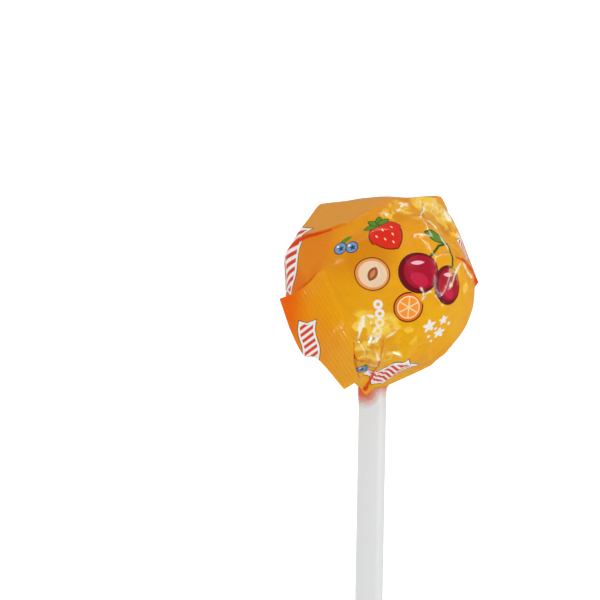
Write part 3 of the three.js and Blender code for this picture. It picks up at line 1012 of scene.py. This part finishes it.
def draw_orange(art):
    for radius, colour in ((2.0, INK), (1.83, ORANGE_PEEL), (1.5, PITH), (1.34, ORANGE_FLESH)):
        art.paint(art.disc(0, 0, radius), colour)
    for angle in (20, 80, 140):
        x, y = out_at(angle, 1.4)
        art.paint(art.stroke(-x, -y, x, y, 0.16), PITH)


def draw_peach(art):
    for x, radius, colour in ((0, 2.2, INK), (0, 2.07, SKIN_OF_PEACH), (0.05, 1.75, FLESH)):
        art.paint(art.disc(x, 0, radius, (1, 1.06)), colour)
    art.paint(art.leaf(0.05, 0, 80, 1.9, 1.15), STONE)
    art.paint(art.leaf(0.05, 0, 80, 1.2, 0.5), SKIN_OF_PEACH, 0.7)


def draw_berries(art):
    art.paint(art.leaf(0.1, 1.15, 20, 2.0, 0.8), LEAF)
    for x, y, radius in ((-0.75, 0.1, 0.92), (0.8, -0.3, 0.86)):
        art.paint(art.disc(x, y, radius), BLUE_DARK)
        art.paint(art.disc(x, y, radius - 0.14), BLUE)
        art.paint(art.star(x + 0.1, y - 0.1, 0.42), BLUE_DARK)
        art.paint(art.disc(x - 0.3, y + 0.35, 0.17), WHITE)


def draw_stars(art):
    for place in ((-1.2, 0.9, 1.05), (1.0, 1.1, 0.75), (0.6, -0.9, 0.95)):
        art.paint(art.star(*place), WHITE)
    for place in ((-0.1, 0.1, 0.22), (2.1, 0.1, 0.25), (-1.1, -0.9, 0.24), (-0.5, -2.0, 0.2)):
        art.paint(art.disc(*place), WHITE)


def draw_rings(art):
    for x in (-2.3, -1.15, 0.0, 1.15, 2.3):
        away = art.away(x, 0.09 * x * x - 0.15)
        art.paint(abs(away - 0.42).under(0.19, art.edge), WHITE)


def draw_ribbon(art, reach=2.65):
    """A white-edged band with slanted stripes and a swallow tail."""
    run = art.ahead(0)
    side = abs(art.ahead(90) - (run * 1.15).sine() * 0.22)
    ends = abs(run) - side * 0.35

    def band(inset, end_inset):
        return side.under(1.35 - inset, art.edge).least(ends.under(reach - end_inset, art.edge))

    art.paint(band(0.0, 0.0), INK)
    art.paint(band(0.1, 0.1), WHITE)
    art.paint(art.ahead(33).wave(0.42).over(0.2, 0.12).least(band(0.4, 0.35)), STRIPE)


def draw_long_ribbon(art):
    draw_ribbon(art, 3.5)


MOTIF_DRAWINGS = {
    CHERRIES: draw_cherries, STRAWBERRY: draw_strawberry, ORANGE: draw_orange, PEACH: draw_peach,
    BERRIES: draw_berries, STARS: draw_stars, RINGS: draw_rings, RIBBON: draw_ribbon,
    LONG_RIBBON: draw_long_ribbon,
}


# Materials

def printed(shader, ground, kinds):
    """The ground colour with the motifs on it."""
    plan = shader.node("ShaderNodeUVMap", uv_map="print")
    kind = shader.attribute("motif")
    colour = ground
    for number in kinds:
        art = Drawing(shader, plan, ground)
        MOTIF_DRAWINGS[number](art)
        colour = shader.mix(kind.math("COMPARE", number, 0.5), colour, art.colour)
    return colour


def crinkled(shader, place):
    """Flat little faces with sharp edges between them, as a height in millimetres."""
    seed, count, shortest, longest, slope = FINE_CRUMPLES
    rng = np.random.default_rng(seed)
    total = 0.0
    for i in range(count):
        way, bend, patch = rng.normal(size=(3, 3))
        length = shortest * (longest / shortest) ** (i / (count - 1))
        run = shader.dot(place, way / np.linalg.norm(way) / length) + rng.uniform(0, 9)
        warp = (shader.dot(place, bend / (1.3 * length)) + rng.uniform(0, TAU)).sine() * 0.3
        fade = (shader.dot(place, patch / (2.2 * length)) + rng.uniform(0, TAU)).sine() * 0.5 + 0.5
        total = (run + warp).wave(0.5) * fade * (2 * slope * length) + total
    return total


def facets(shader, place):
    """Two random numbers for each facet of crumpled film, for its painted light and painted shade, and how
    far its edge is.
    """
    bend = shader.node("ShaderNodeTexNoise", {"Vector": place, "Scale": 0.4, "Detail": 1.0}, "Color")
    bent = shader.vector("MULTIPLY_ADD", bend, (2.4, 2.4, 2.4), place)
    tint = shader.node("ShaderNodeTexVoronoi", {"Vector": bent, "Scale": 1.0, "Smoothness": 0.35}, "Color",
                       feature="SMOOTH_F1")
    from_edge = shader.number("ShaderNodeTexVoronoi", {"Vector": bent, "Scale": 0.5}, "Distance",
                              feature="DISTANCE_TO_EDGE")
    return shader.dot(tint, (1, 0, 0)), shader.dot(tint, (0, 1, 0)), from_edge


def film_material(colours, name="film", kinds=tuple(MOTIF_DRAWINGS), crumpled=True, deepest=None,
                  ribs=None):
    """Glossy printed film: yellow to orange, with the print, painted shade in the folds,
    painted light and highlights on facets and crests, and a painted sheen on a matte stretch.
    """
    shader = Shader(name)
    place = shader.vector("SCALE", shader.place(), Scale=1 / MM)
    fine = shader.noise(place, 0.9, 3.0, 0.55)
    ground = shader.mix(shader.attribute("warmth"), colours.yellow, deepest or colours.orange)
    haze = shader.attribute("haze")
    gloss = shader.attribute("crumpled") if crumpled else 0.2
    height = fine * 0.03
    if crumpled:
        light, dark, from_edge = facets(shader, place)
        # Painted shade: darker facets, and the spots of painted shade
        shade = (gloss * dark.under(0.38, 0.3) * 0.3).most(shader.attribute("dim"))
        ground = shader.mix(shade, ground, colours.amber)
    if ribs:
        # Painted shade in the rib valleys
        valley = shader.dot(shader.place(), ribs).sine() * -0.5 + 0.5
        ground = shader.mix(valley * shader.attribute("ribbed") * VALLEY_SHADE, ground, colours.amber)
    # Painted sheen: the matte stretch is whitish
    ground = shader.mix(haze * 0.75, ground, colours.haze)
    # Random mottling in the ground's own tone
    ground = shader.mix(((fine - 0.4) * 0.5).most(0.0), ground, colours.amber)
    colour = printed(shader, ground, kinds)
    if crumpled:
        # Painted light: yellow facets where the spots of painted light are strong
        glow = shader.attribute("glow")
        lit = (light + glow).over(1.0, 0.5) * glow.over(0.1, 0.2)
        colour = shader.mix(lit * (fine * 0.7 + 0.3), colour, colours.light)
        # Painted highlights: a web of pale lines on the edges of the brightest facets
        web = from_edge.under(0.03, 0.05) * (glow * 0.6 + fine).over(0.98, 0.2)
        colour = shader.mix(web * 0.35, colour, colours.rubbed)
        # Painted shade inside folds
        colour = shader.mix(shader.attribute("inner"), colour, colours.fold)
    # Painted shade along the laps' edges
    lap = shader.attribute("lap").under(0.13, 0.1) * shader.attribute("lap_strength")
    colour = shader.mix(lap, colour, colours.fold)
    if crumpled:
        # Painted highlights: pale strips along the ridges' crests
        from_ridge = abs(shader.attribute("ridge"))
        strip = shader.attribute("pale") * (light + 0.55) - from_ridge - fine * 0.2
        for limit, soft, share in ((-0.02, 0.2, 0.4), (0.12, 0.22, 0.85)):
            colour = shader.mix(strip.over(limit, soft) * share, colour, colours.rubbed)
        ridge = (from_ridge / RIDGE_HALF_WIDTH).least(1.0)
        crest = 1 - ridge * ridge
        share = shader.attribute("ridge_share")
        ridges = crest * crest * share * RIDGE_BUMP
        height = height + crinkled(shader, place) * gloss + ridges
        gloss = gloss.most(crest * abs(share))
    shader.set(Base_Color=colour, Roughness=haze * 0.2 + 0.28,
               Coat_Weight=gloss * 0.32 + 0.03 - haze * 0.03 if crumpled else 0.09,
               Coat_Roughness=0.1, Coat_IOR=1.55, Specular_IOR_Level=0.08, Normal=shader.bump(height, MM))
    return shader.material


def stick_material(colours):
    shader = Shader("stick")
    grain = shader.noise(shader.place(), 900.0, 2.0, 0.5)
    shader.set(Base_Color=colours.stick, Roughness=0.42, Specular_IOR_Level=0.25,
               Normal=shader.bump(grain, 0.00002, 0.3))
    return shader.material


def tail_material(colours):
    """Clear film at the wrapper's end, with torn patches of orange print that fade out."""
    shader = Shader("film end")
    patches = shader.noise(shader.place(), 500.0, 2.0, 0.5)
    fade = shader.attribute("fade")
    ink = fade * (patches * 0.5 + 0.7)
    shader.set(Base_Color=shader.mix(fade, colours.pale, colours.smear),
               Roughness=0.35, Alpha=ink.most(0.02).least(0.92))
    shader.material.surface_render_method = "BLENDED"
    return shader.material


# Geometry Nodes

class Tree(NodeMaker):
    """A Geometry Nodes tree with named inputs, for one modifier."""

    def __init__(self, name, **inputs):
        self.group = bpy.data.node_groups.new(name, "GeometryNodeTree")
        super().__init__(self.group)
        face = self.group.interface
        face.new_socket("Geometry", in_out="OUTPUT", socket_type="NodeSocketGeometry")
        self.identifiers = {}
        for label, kind in {"Geometry": "Geometry", **inputs, "Material": "Material"}.items():
            socket = face.new_socket(label, in_out="INPUT", socket_type=f"NodeSocket{kind}")
            self.identifiers[label] = socket.identifier
        self.source = self.nodes.new("NodeGroupInput")
        self.end = self.nodes.new("NodeGroupOutput")

    def value(self, label):
        return Number(self, self.source.outputs[label])

    def close(self, geometry):
        whole = self.node("GeometryNodeRealizeInstances", {"Geometry": geometry})
        done = self.node("GeometryNodeSetMaterial", {"Geometry": whole, "Material": self.value("Material")})
        self.links.new(done, self.end.inputs["Geometry"])

    def made_on(self, piece, values):
        """Puts the tree on the piece, keeps what it makes as the piece's mesh and takes it off."""
        modifier = piece.modifiers.new(self.group.name, "NODES")
        modifier.node_group = self.group
        for label, value in values.items():
            modifier[self.identifiers[label]] = value
        evaluated = piece.evaluated_get(bpy.context.evaluated_depsgraph_get())
        mesh = bpy.data.meshes.new_from_object(evaluated)
        piece.modifiers.remove(modifier)
        piece.data = mesh
        mesh.name = piece.name


def rod_tree():
    """A round rod along Y with rounded ends."""
    tree = Tree("rod", Radius="Float", Reach="Float", Depth="Float", Rounding="Float", Rings="Int",
                Sides="Int")
    line = tree.node("GeometryNodeCurvePrimitiveLine", {"End": (0, 1, 0)})
    rings = tree.node("GeometryNodeResampleCurve", {"Curve": line, "Count": tree.value("Rings")})
    share = tree.number("GeometryNodeSplineParameter")
    eased = (share * math.pi).math("COSINE").math("MULTIPLY_ADD", -0.5, 0.5)
    depth, rounding = tree.value("Depth"), tree.value("Rounding")
    whole = tree.value("Reach") + depth
    spot = tree.node("ShaderNodeCombineXYZ", {"Y": depth - eased * whole})
    placed = tree.node("GeometryNodeSetPosition", {"Geometry": rings, "Position": spot})
    # The rings have moved, so how far each is from an end comes from its place and not its share
    place = tree.node("GeometryNodeInputPosition")
    run = depth - tree.number("ShaderNodeSeparateXYZ", {0: place}, "Y")
    gap = rounding - run.least(whole - run).most(0.0).least(rounding)
    arc = (rounding * rounding - gap * gap).math("SQRT")
    circle = tree.node("GeometryNodeCurvePrimitiveCircle", {"Resolution": tree.value("Sides"), "Radius": 1.0})
    tree.close(tree.node("GeometryNodeCurveToMesh", {
        "Curve": placed, "Profile Curve": circle, "Scale": tree.value("Radius") - rounding + arc,
        "Fill Caps": True}))
    return tree


def rib_tree():
    """Fine straight ribs pressed into a sheet, where its attribute "ribbed" says so."""
    tree = Tree("pressed ribs", Pitch="Float", Height="Float", Across="Vector")
    run = tree.measure("DOT_PRODUCT", tree.node("GeometryNodeInputPosition"), tree.value("Across"))
    ribbed = tree.number("GeometryNodeInputNamedAttribute", {"Name": "ribbed"}, data_type="FLOAT")
    rise = (run / tree.value("Pitch") * TAU).sine() * ribbed * tree.value("Height")
    offset = tree.vector("SCALE", tree.node("GeometryNodeInputNormal"), Scale=rise)
    tree.close(tree.node("GeometryNodeSetPosition", {"Geometry": tree.value("Geometry"), "Offset": offset}))
    return tree


# The pieces

# Painted shade and light: the ground runs more orange towards the upper left, yellower towards the lower
# right
def ball_ground(ways):
    return 0.22 + 0.3 * ways[:, 1] - 0.2 * ways[:, 0]


# Painted shade: the flap's ground runs more orange towards its left
def flap_ground(ways):
    return 0.15 - 0.24 * ways[:, 0] + 0.2 * near_front_spot(ways, -9.0, -7.0, 5.0)


def warmth_of(ways):
    """How far the film's ground runs from yellow to orange, as painted light and shade."""
    away, side, _ = near_line(ways, FLAP_TOP)
    # Painted shadow: deeper orange on the film just above the flap's top edge
    above_flap = smoothstep(-side, -0.1, 0.4) * smoothstep(-ways[:, 0] * SLACK_RADIUS, 8.5, 11.0)
    warmth = ball_ground(ways) + 0.4 * (1 - smoothstep(away, 0.0, 2.6)) * above_flap
    warmth = add_spots(warmth, ways, WARM_SPOTS)
    # Painted shade: more orange near the outline on the right
    warmth += 0.2 * smoothstep(np.hypot(ways[:, 0], ways[:, 1]), 0.75, 1.0) * smoothstep(ways[:, 0], 0, 0.5)
    return np.clip(warmth, 0.04, 1)


def haze_of(ways):
    """The matte stretch of film at the upper left, with a straight edge on the lap: rougher, and whitish with
    a painted sheen.
    """
    x, y = ways[:, 0] * SLACK_RADIUS, ways[:, 1] * SLACK_RADIUS
    lower = y - np.interp(x, *zip(*HAZE_EDGE))
    front = smoothstep(ways[:, 2], -0.1, 0.15)
    return front * smoothstep(lower, -0.05, 0.2) * (1 - smoothstep(x, -3.0, 4.2))


def across_ribs():
    """The way across the flap's ribs, per millimetre."""
    return np.array(lie())[:3, :3] @ RIB_WAY / MM


def rib_phases(sizes):
    """The ribs' turn in radians per metre, along each axis of the scene."""
    return tuple(across_ribs() * TAU / sizes.rib_pitch)


def ribbed_share(ways):
    """Where the flap's ribs run on past its joined edge and fade out."""
    away, side, _ = near_line(ways, FLAP_JOIN)
    return np.where((side > 0) & (ways[:, 2] > 0), 0.55 * (1 - smoothstep(away, 0.9, 3.0)), 0)


def make_ball_film(sizes, colours):
    points, rings = ball_film()
    material = film_material(colours, ribs=rib_phases(sizes))
    piece = mesh_piece("film", points, tube_faces(rings, COLUMNS), material)
    own = unit(points)
    outside = np.arange(len(points)) < 1 + (BALL_ROWS + NECK_ROWS) * COLUMNS
    ridge, ridge_share, pale = ridge_place(own)
    lap, lap_strength = lap_distance(own)
    # Among these, pale holds the painted highlights along the crests
    add_attributes(
        piece, lap=np.where(outside, lap, 1), lap_strength=np.clip(lap_strength, 0, 1), ridge=ridge,
        ridge_share=outside * ridge_share, pale=outside * pale,
        inner=np.maximum(outside * fold_share(own), wedge_share(points)),
        glow=outside * front_spots(own, GLOWS), dim=front_spots(own, DIM_SPOTS),
        crumpled=np.clip(crumpled_share(own), 0, 1.3), warmth=warmth_of(own), haze=haze_of(own),
        ribbed=outside * ribbed_share(own))
    corners, faces = corners_and_faces(piece)
    middles = unit(np.column_stack([face_means(faces, column) for column in own[corners].T]))
    kinds, plan = motif_plan(own[corners], middles, faces, film_motifs())
    in_hole = corners >= len(points) - 1 - len(BORE_SHARES) * COLUMNS
    add_print(piece, np.where(face_means(faces, in_hole) > 0, 0, kinds), plan)
    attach(piece, "root")
    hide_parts("wrapper")


def make_flap(sizes, colours):
    grid = flap_sheet()
    rows, width = grid.shape[:2]
    piece, points = sheet_piece("flap", grid, sizes.flap_thickness / MM)
    along = np.clip((np.arange(width) - (width - FLAP_COLUMNS)) / (FLAP_COLUMNS - 1), 0, 1)
    down = np.linspace(0, 1, rows)
    ribbed = np.outer(smoothstep(down, 0.0, 0.05) * (1 - smoothstep(down, 0.96, 1.0)),
                      smoothstep(along, 0.01, 0.1) * (1 - smoothstep(along, 0.985, 1.0)))
    add_attributes(piece, ribbed=np.append(ribbed, np.zeros(rows * width)))
    material = film_material(colours, "flap film", (RIBBON,), False, colours.deep, rib_phases(sizes))
    rib_tree().made_on(piece, {"Pitch": sizes.rib_pitch, "Height": sizes.rib_height,
                               "Across": tuple(across_ribs()), "Material": material})
    x, y = points[:, 0], points[:, 1]
    own = unit(points)
    # The far edge is deeper orange, where a neighbour lights it in the photo
    far = smoothstep(-x - 0.2 * y, 7.5, 12.5)
    off = np.tile(smoothstep(along, 0.0, 0.4), 2 * rows)
    near_warmth = 0.77 * (ball_ground(own) + off * (flap_ground(own) - ball_ground(own)))
    far_warmth = 0.44 + 0.56 * smoothstep(-x, 9.9, 13.6)
    # The flap's lower part is rougher, with a whitish painted sheen
    add_attributes(piece, warmth=np.clip(near_warmth * (1 - far) + far_warmth * far, 0, 1),
                   haze=0.25 * smoothstep(-y, 3, 12) * off)
    kind, spot_x, spot_y, turn, size = FLAP_MOTIF
    corners, faces = corners_and_faces(piece)
    across, up = out_at(turn)
    plan = (points[corners, :2] - [spot_x, spot_y]) @ np.array([[across, -up], [up, across]]) / size
    add_print(piece, np.where(face_means(faces, np.hypot(*plan.T)) < MOTIF_ROOM[kind], kind, 0), plan)
    piece.data.set_sharp_from_angle(angle=SHEET_SHARP_ANGLE)
    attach(piece, "root")


def make_side_fold(colours):
    """A small lap of film at the right: its free edge stands off, its root dives under."""
    rows, width = SIDE_FOLD_ROWS, SIDE_FOLD_COLUMNS
    corners = [(*(spot_way(x, y) * 10), lift) for x, y, lift in SIDE_FOLD]
    shares = np.linspace(0, 1, rows) * (len(corners) - 1)
    line = np.column_stack([np.interp(shares, range(len(corners)), column) for column in zip(*corners)])
    ways = unit(line[:, :3])
    side = np.cross(unit(np.gradient(ways, axis=0)), ways)
    grown = np.linspace(0, 1, rows)[:, None] ** 0.7
    grid = np.empty((rows, width, 3))
    for i, share in enumerate(np.linspace(0, 1, width)):
        here = unit(ways + side * share * SIDE_FOLD_WIDTH * (0.25 + 0.75 * grown) / SLACK_RADIUS)
        lift = line[:, 3] * (1 - share) ** 1.4 - 0.09 * smoothstep(share, 0.7, 1.0)
        grid[:, i] = here * (film_radius(here) + lift)[:, None]
    material = film_material(colours, "fold film", (), False)
    piece, _ = sheet_piece("side_fold", grid, SIDE_FOLD_THICKNESS, material)
    # Painted shade along the side fold's free edge
    from_edge = np.tile(np.linspace(0, 1, width), rows)
    add_attributes(piece, lap=np.append(from_edge * 0.22, np.zeros(rows * width)), lap_strength=1,
                   warmth=0.5, haze=0)
    add_print(piece, 0, np.zeros((len(piece.data.loops), 2)))
    piece.data.set_sharp_from_angle(angle=SHEET_SHARP_ANGLE)
    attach(piece, "root")


def make_tail(colours):
    """The film's clear end, wound round the stick."""
    count = STICK_SIDES
    turn = TAU * np.arange(count) / count
    end = -TAIL_START - 1.8 - 1.6 * smoothstep(np.cos(turn - TAIL_TURN), 0.0, 1.0)

    def ring(radius, share):
        return stick_ring(radius, (end + TAIL_START) * share - TAIL_START, turn)

    rings = [ring(TAIL_OUTER + 0.05 * np.sin(4 * turn + 3 * share), share)
             for share in np.linspace(0, 1, TAIL_ROWS)]
    rings += [ring(TAIL_INNER, 1.0), ring(TAIL_INNER, 0.0)]
    total = len(rings)
    faces = [quad for row in range(total)
             for quad in ring_quads(row * count, (row + 1) % total * count, count)]
    points = np.vstack(rings)
    piece = mesh_piece("film_end", points, faces, tail_material(colours))
    around = np.tile(turn, total)
    front = smoothstep(np.cos(around - TAIL_TURN), 0.25, 0.95)
    smear = front * (1 - smoothstep(-points[:, 1], 15.2, 17.3))
    band = 0.6 * (1 - smoothstep(-points[:, 1] - film_tip(around), 0.0, 0.9)) * (np.sin(around) > 0)
    add_attributes(piece, fade=np.maximum(smear, band))
    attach(piece, "root")


def make_stick(colours):
    piece = mesh_piece("lollipop_stick", np.zeros((1, 3)), [])
    rod_tree().made_on(piece, {
        "Radius": STICK_RADIUS * MM, "Reach": STICK_REACH * MM, "Depth": STICK_DEPTH * MM,
        "Rounding": STICK_END_ROUNDING * MM, "Rings": STICK_RINGS, "Sides": STICK_SIDES,
        "Material": stick_material(colours)})
    place = Matrix.Translation(ball_middle()) @ Matrix.Rotation(REST_ANGLE, 4, "X")
    piece.data.transform(place @ Matrix.Translation((STICK_OFFSET * MM, 0, 0)))
    face_outwards(piece.data)
    piece.data.shade_smooth()
    piece.data.set_sharp_from_angle(angle=STICK_SHARP_ANGLE)
    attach(piece, "root")
    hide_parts("stick")


# The stage

def own_place(x, y, z):
    """A point of the lollipop's own frame, in millimetres, where it is in the scene."""
    return Vector(laid_down(np.array([[x, y, z]], dtype=float))[0])


def soft_light(name, turn, rise, distance, size, power):
    """An area light that faces the ball from a turn, a rise and a distance in millimetres."""
    data = bpy.data.lights.new(name, "AREA")
    data.shape = "RECTANGLE"
    data.size, data.size_y = size
    data.energy = power
    light = new_object(name, data)
    light.location = own_place(*(distance * way_of(turn, rise)))
    towards_ball = own_place(0, 0, 0) - light.location
    light.rotation_euler = towards_ball.to_track_quat("-Z", "Y").to_euler()
    return light


def make_lights(power):
    for i, (turn, rise, size, share) in enumerate(FILL_LIGHTS):
        light = soft_light(f"fill_light_{i}", turn, rise, FILL_DISTANCE, (size, size), share * power)
        light.visible_glossy = False
    for turn, rise, width, height, share in STRIP_LIGHTS:
        light = soft_light(f"strip_light_{turn}", turn, rise, STRIP_DISTANCE, (width, height),
                           share * power)
        light.visible_diffuse = False


def make_surroundings(scene):
    scene.view_settings.view_transform = "Standard"
    scene.world = bpy.data.worlds.new("pale surroundings")
    scene.world.use_nodes = True
    background = scene.world.node_tree.nodes["Background"].inputs
    background["Color"].default_value = (1, 1, 1, 1)
    background["Strength"].default_value = SURROUNDINGS_STRENGTH


def make_floor():
    side = FLOOR_REACH
    mesh = bpy.data.meshes.new("floor")
    mesh.from_pydata([(-side, -side, 0), (side, -side, 0), (side, side, 0), (-side, side, 0)], [],
                     [(0, 1, 2, 3)])
    floor = new_object("floor", mesh)
    shader = Shader("pale floor")
    shader.set(Base_Color=(0.92, 0.92, 0.92), Roughness=0.9, Specular_IOR_Level=0.1,
               Emission_Color=(1, 1, 1), Emission_Strength=0.6)
    mesh.materials.append(shader.material)
    floor.visible_glossy = False


def make_camera(scene):
    """Square on the shown side, turned so that the stick leans as it does in the photo."""
    data = bpy.data.cameras.new("camera")
    data.sensor_width = 36
    data.lens = 100
    distance = PHOTO_SIDE * PIXEL * data.lens / data.sensor_width
    lean = math.radians(CAMERA_LEAN)
    right = (BALL_PIXEL[0] - PHOTO_SIDE / 2) * PIXEL
    up = (PHOTO_SIDE / 2 - BALL_PIXEL[1]) * PIXEL
    x = up * math.sin(lean) - right * math.cos(lean)
    y = -(right * math.sin(lean) + up * math.cos(lean))
    turned = Matrix.Rotation(REST_ANGLE, 4, "X") @ Matrix.Rotation(lean, 4, "Z")
    scene.camera = new_object("camera", data)
    scene.camera.matrix_world = Matrix.Translation(own_place(x, y, distance)) @ turned


# The add-on

class LollipopSizes(bpy.types.PropertyGroup):
    flap_thickness: bpy.props.FloatProperty(
        name="Flap thickness", description="Thickness of the free flap of film",
        default=FLAP_THICKNESS * MM, min=0.00003, max=0.0005, unit="LENGTH")
    rib_pitch: bpy.props.FloatProperty(
        name="Rib pitch", description="Distance between the fine ribs pressed into the flap",
        default=0.00052, min=0.0001, max=0.002, unit="LENGTH")
    rib_height: bpy.props.FloatProperty(
        name="Rib height", description="Half the height of the ribs pressed into the flap",
        default=0.00002, min=0.0, max=0.0001, unit="LENGTH")
    light_power: bpy.props.FloatProperty(
        name="Light power", description="Strength of the main soft light",
        default=1.0, min=0.0, unit="POWER")


def colour_property(name, description, default):
    return bpy.props.FloatVectorProperty(name=name, description=description, subtype="COLOR",
                                         size=3, min=0, max=1, default=default)


class LollipopColours(bpy.types.PropertyGroup):
    yellow: colour_property("Yellow", "The film's lighter ground colour", srgb(239, 176, 14))
    orange: colour_property("Orange", "The film's deeper ground colour", srgb(226, 112, 6))
    # The matte film's whitish colour, a painted sheen
    haze: colour_property("Haze", "The film where it is matte and whitish", srgb(216, 150, 62))
    # Painted shade inside the film's folds
    fold: colour_property("Fold", "The film inside its folds", srgb(218, 64, 4))
    # Painted highlight: the pale colour along sharp creases and crests
    rubbed: colour_property("Rubbed", "The film's sharp creases, where the print is rubbed pale",
                            srgb(255, 245, 218))
    # Painted light on the brightest facets of the crumpled film
    light: colour_property("Light", "The brightest facets of the crumpled film", srgb(255, 220, 80))
    # Painted shade of dark facets, dents and rib valleys; the same colour gives random mottling
    amber: colour_property("Amber", "The darkest facets of the crumpled film", srgb(212, 128, 4))
    # The flap's orange end; at its far edge it is a painted glow of reflected light
    deep: colour_property("Deep", "The flap's orange edge", srgb(240, 92, 0))
    pale: colour_property("Pale", "The faint print on the film's clear end", srgb(250, 200, 184))
    smear: colour_property("Smear", "The full print on the film's clear end", srgb(232, 84, 44))
    stick: colour_property("Stick", "The plastic of the stick", srgb(226, 227, 227))


class LOLLIPOP_OT_film(bpy.types.Operator):
    """Make the printed film round the candy ball"""
    bl_idname = "lollipop.film"
    bl_label = "Ball film"

    def execute(self, context):
        make_ball_film(context.scene.lollipop_sizes, context.scene.lollipop_colours)
        return {"FINISHED"}


class LOLLIPOP_OT_flap(bpy.types.Operator):
    """Make the ribbed flap of film that stands off at the lower left"""
    bl_idname = "lollipop.flap"
    bl_label = "Flap"

    def execute(self, context):
        make_flap(context.scene.lollipop_sizes, context.scene.lollipop_colours)
        return {"FINISHED"}

class LOLLIPOP_OT_folds(bpy.types.Operator):
    """Make the small lap at the right and the film's clear end on the stick"""
    bl_idname = "lollipop.folds"
    bl_label = "Folds"

    def execute(self, context):
        make_side_fold(context.scene.lollipop_colours)
        make_tail(context.scene.lollipop_colours)
        return {"FINISHED"}


class LOLLIPOP_OT_stick(bpy.types.Operator):
    """Make the plastic stick"""
    bl_idname = "lollipop.stick"
    bl_label = "Stick"

    def execute(self, context):
        make_stick(context.scene.lollipop_colours)
        return {"FINISHED"}


class LOLLIPOP_OT_stage(bpy.types.Operator):
    """Make the floor, the lights, the surroundings and the camera"""
    bl_idname = "lollipop.stage"
    bl_label = "Stage"

    def execute(self, context):
        make_surroundings(context.scene)
        make_lights(context.scene.lollipop_sizes.light_power)
        make_floor()
        make_camera(context.scene)
        return {"FINISHED"}


class LOLLIPOP_PT_panel(bpy.types.Panel):
    bl_idname = "LOLLIPOP_PT_panel"
    bl_label = "Lollipop"
    bl_space_type = "VIEW_3D"
    bl_region_type = "UI"
    bl_category = "Lollipop"

    def draw(self, context):
        column = self.layout.column()
        for group in (context.scene.lollipop_sizes, context.scene.lollipop_colours):
            for name in group.__annotations__:
                column.prop(group, name)
        for operator in OPERATORS:
            column.operator(operator.bl_idname)


OPERATORS = (LOLLIPOP_OT_film, LOLLIPOP_OT_flap, LOLLIPOP_OT_folds, LOLLIPOP_OT_stick, LOLLIPOP_OT_stage)
CLASSES = (LollipopSizes, LollipopColours, *OPERATORS, LOLLIPOP_PT_panel)


def register():
    for new_class in CLASSES:
        bpy.utils.register_class(new_class)
    bpy.types.Scene.lollipop_sizes = bpy.props.PointerProperty(type=LollipopSizes)
    bpy.types.Scene.lollipop_colours = bpy.props.PointerProperty(type=LollipopColours)


def unregister():
    del bpy.types.Scene.lollipop_sizes
    del bpy.types.Scene.lollipop_colours
    for old_class in reversed(CLASSES):
        bpy.utils.unregister_class(old_class)


def main():
    register()
    bpy.ops.lollipop.film()
    bpy.ops.lollipop.flap()
    bpy.ops.lollipop.folds()
    bpy.ops.lollipop.stick()
    bpy.ops.lollipop.stage()


if __name__ == "__main__":
    main()
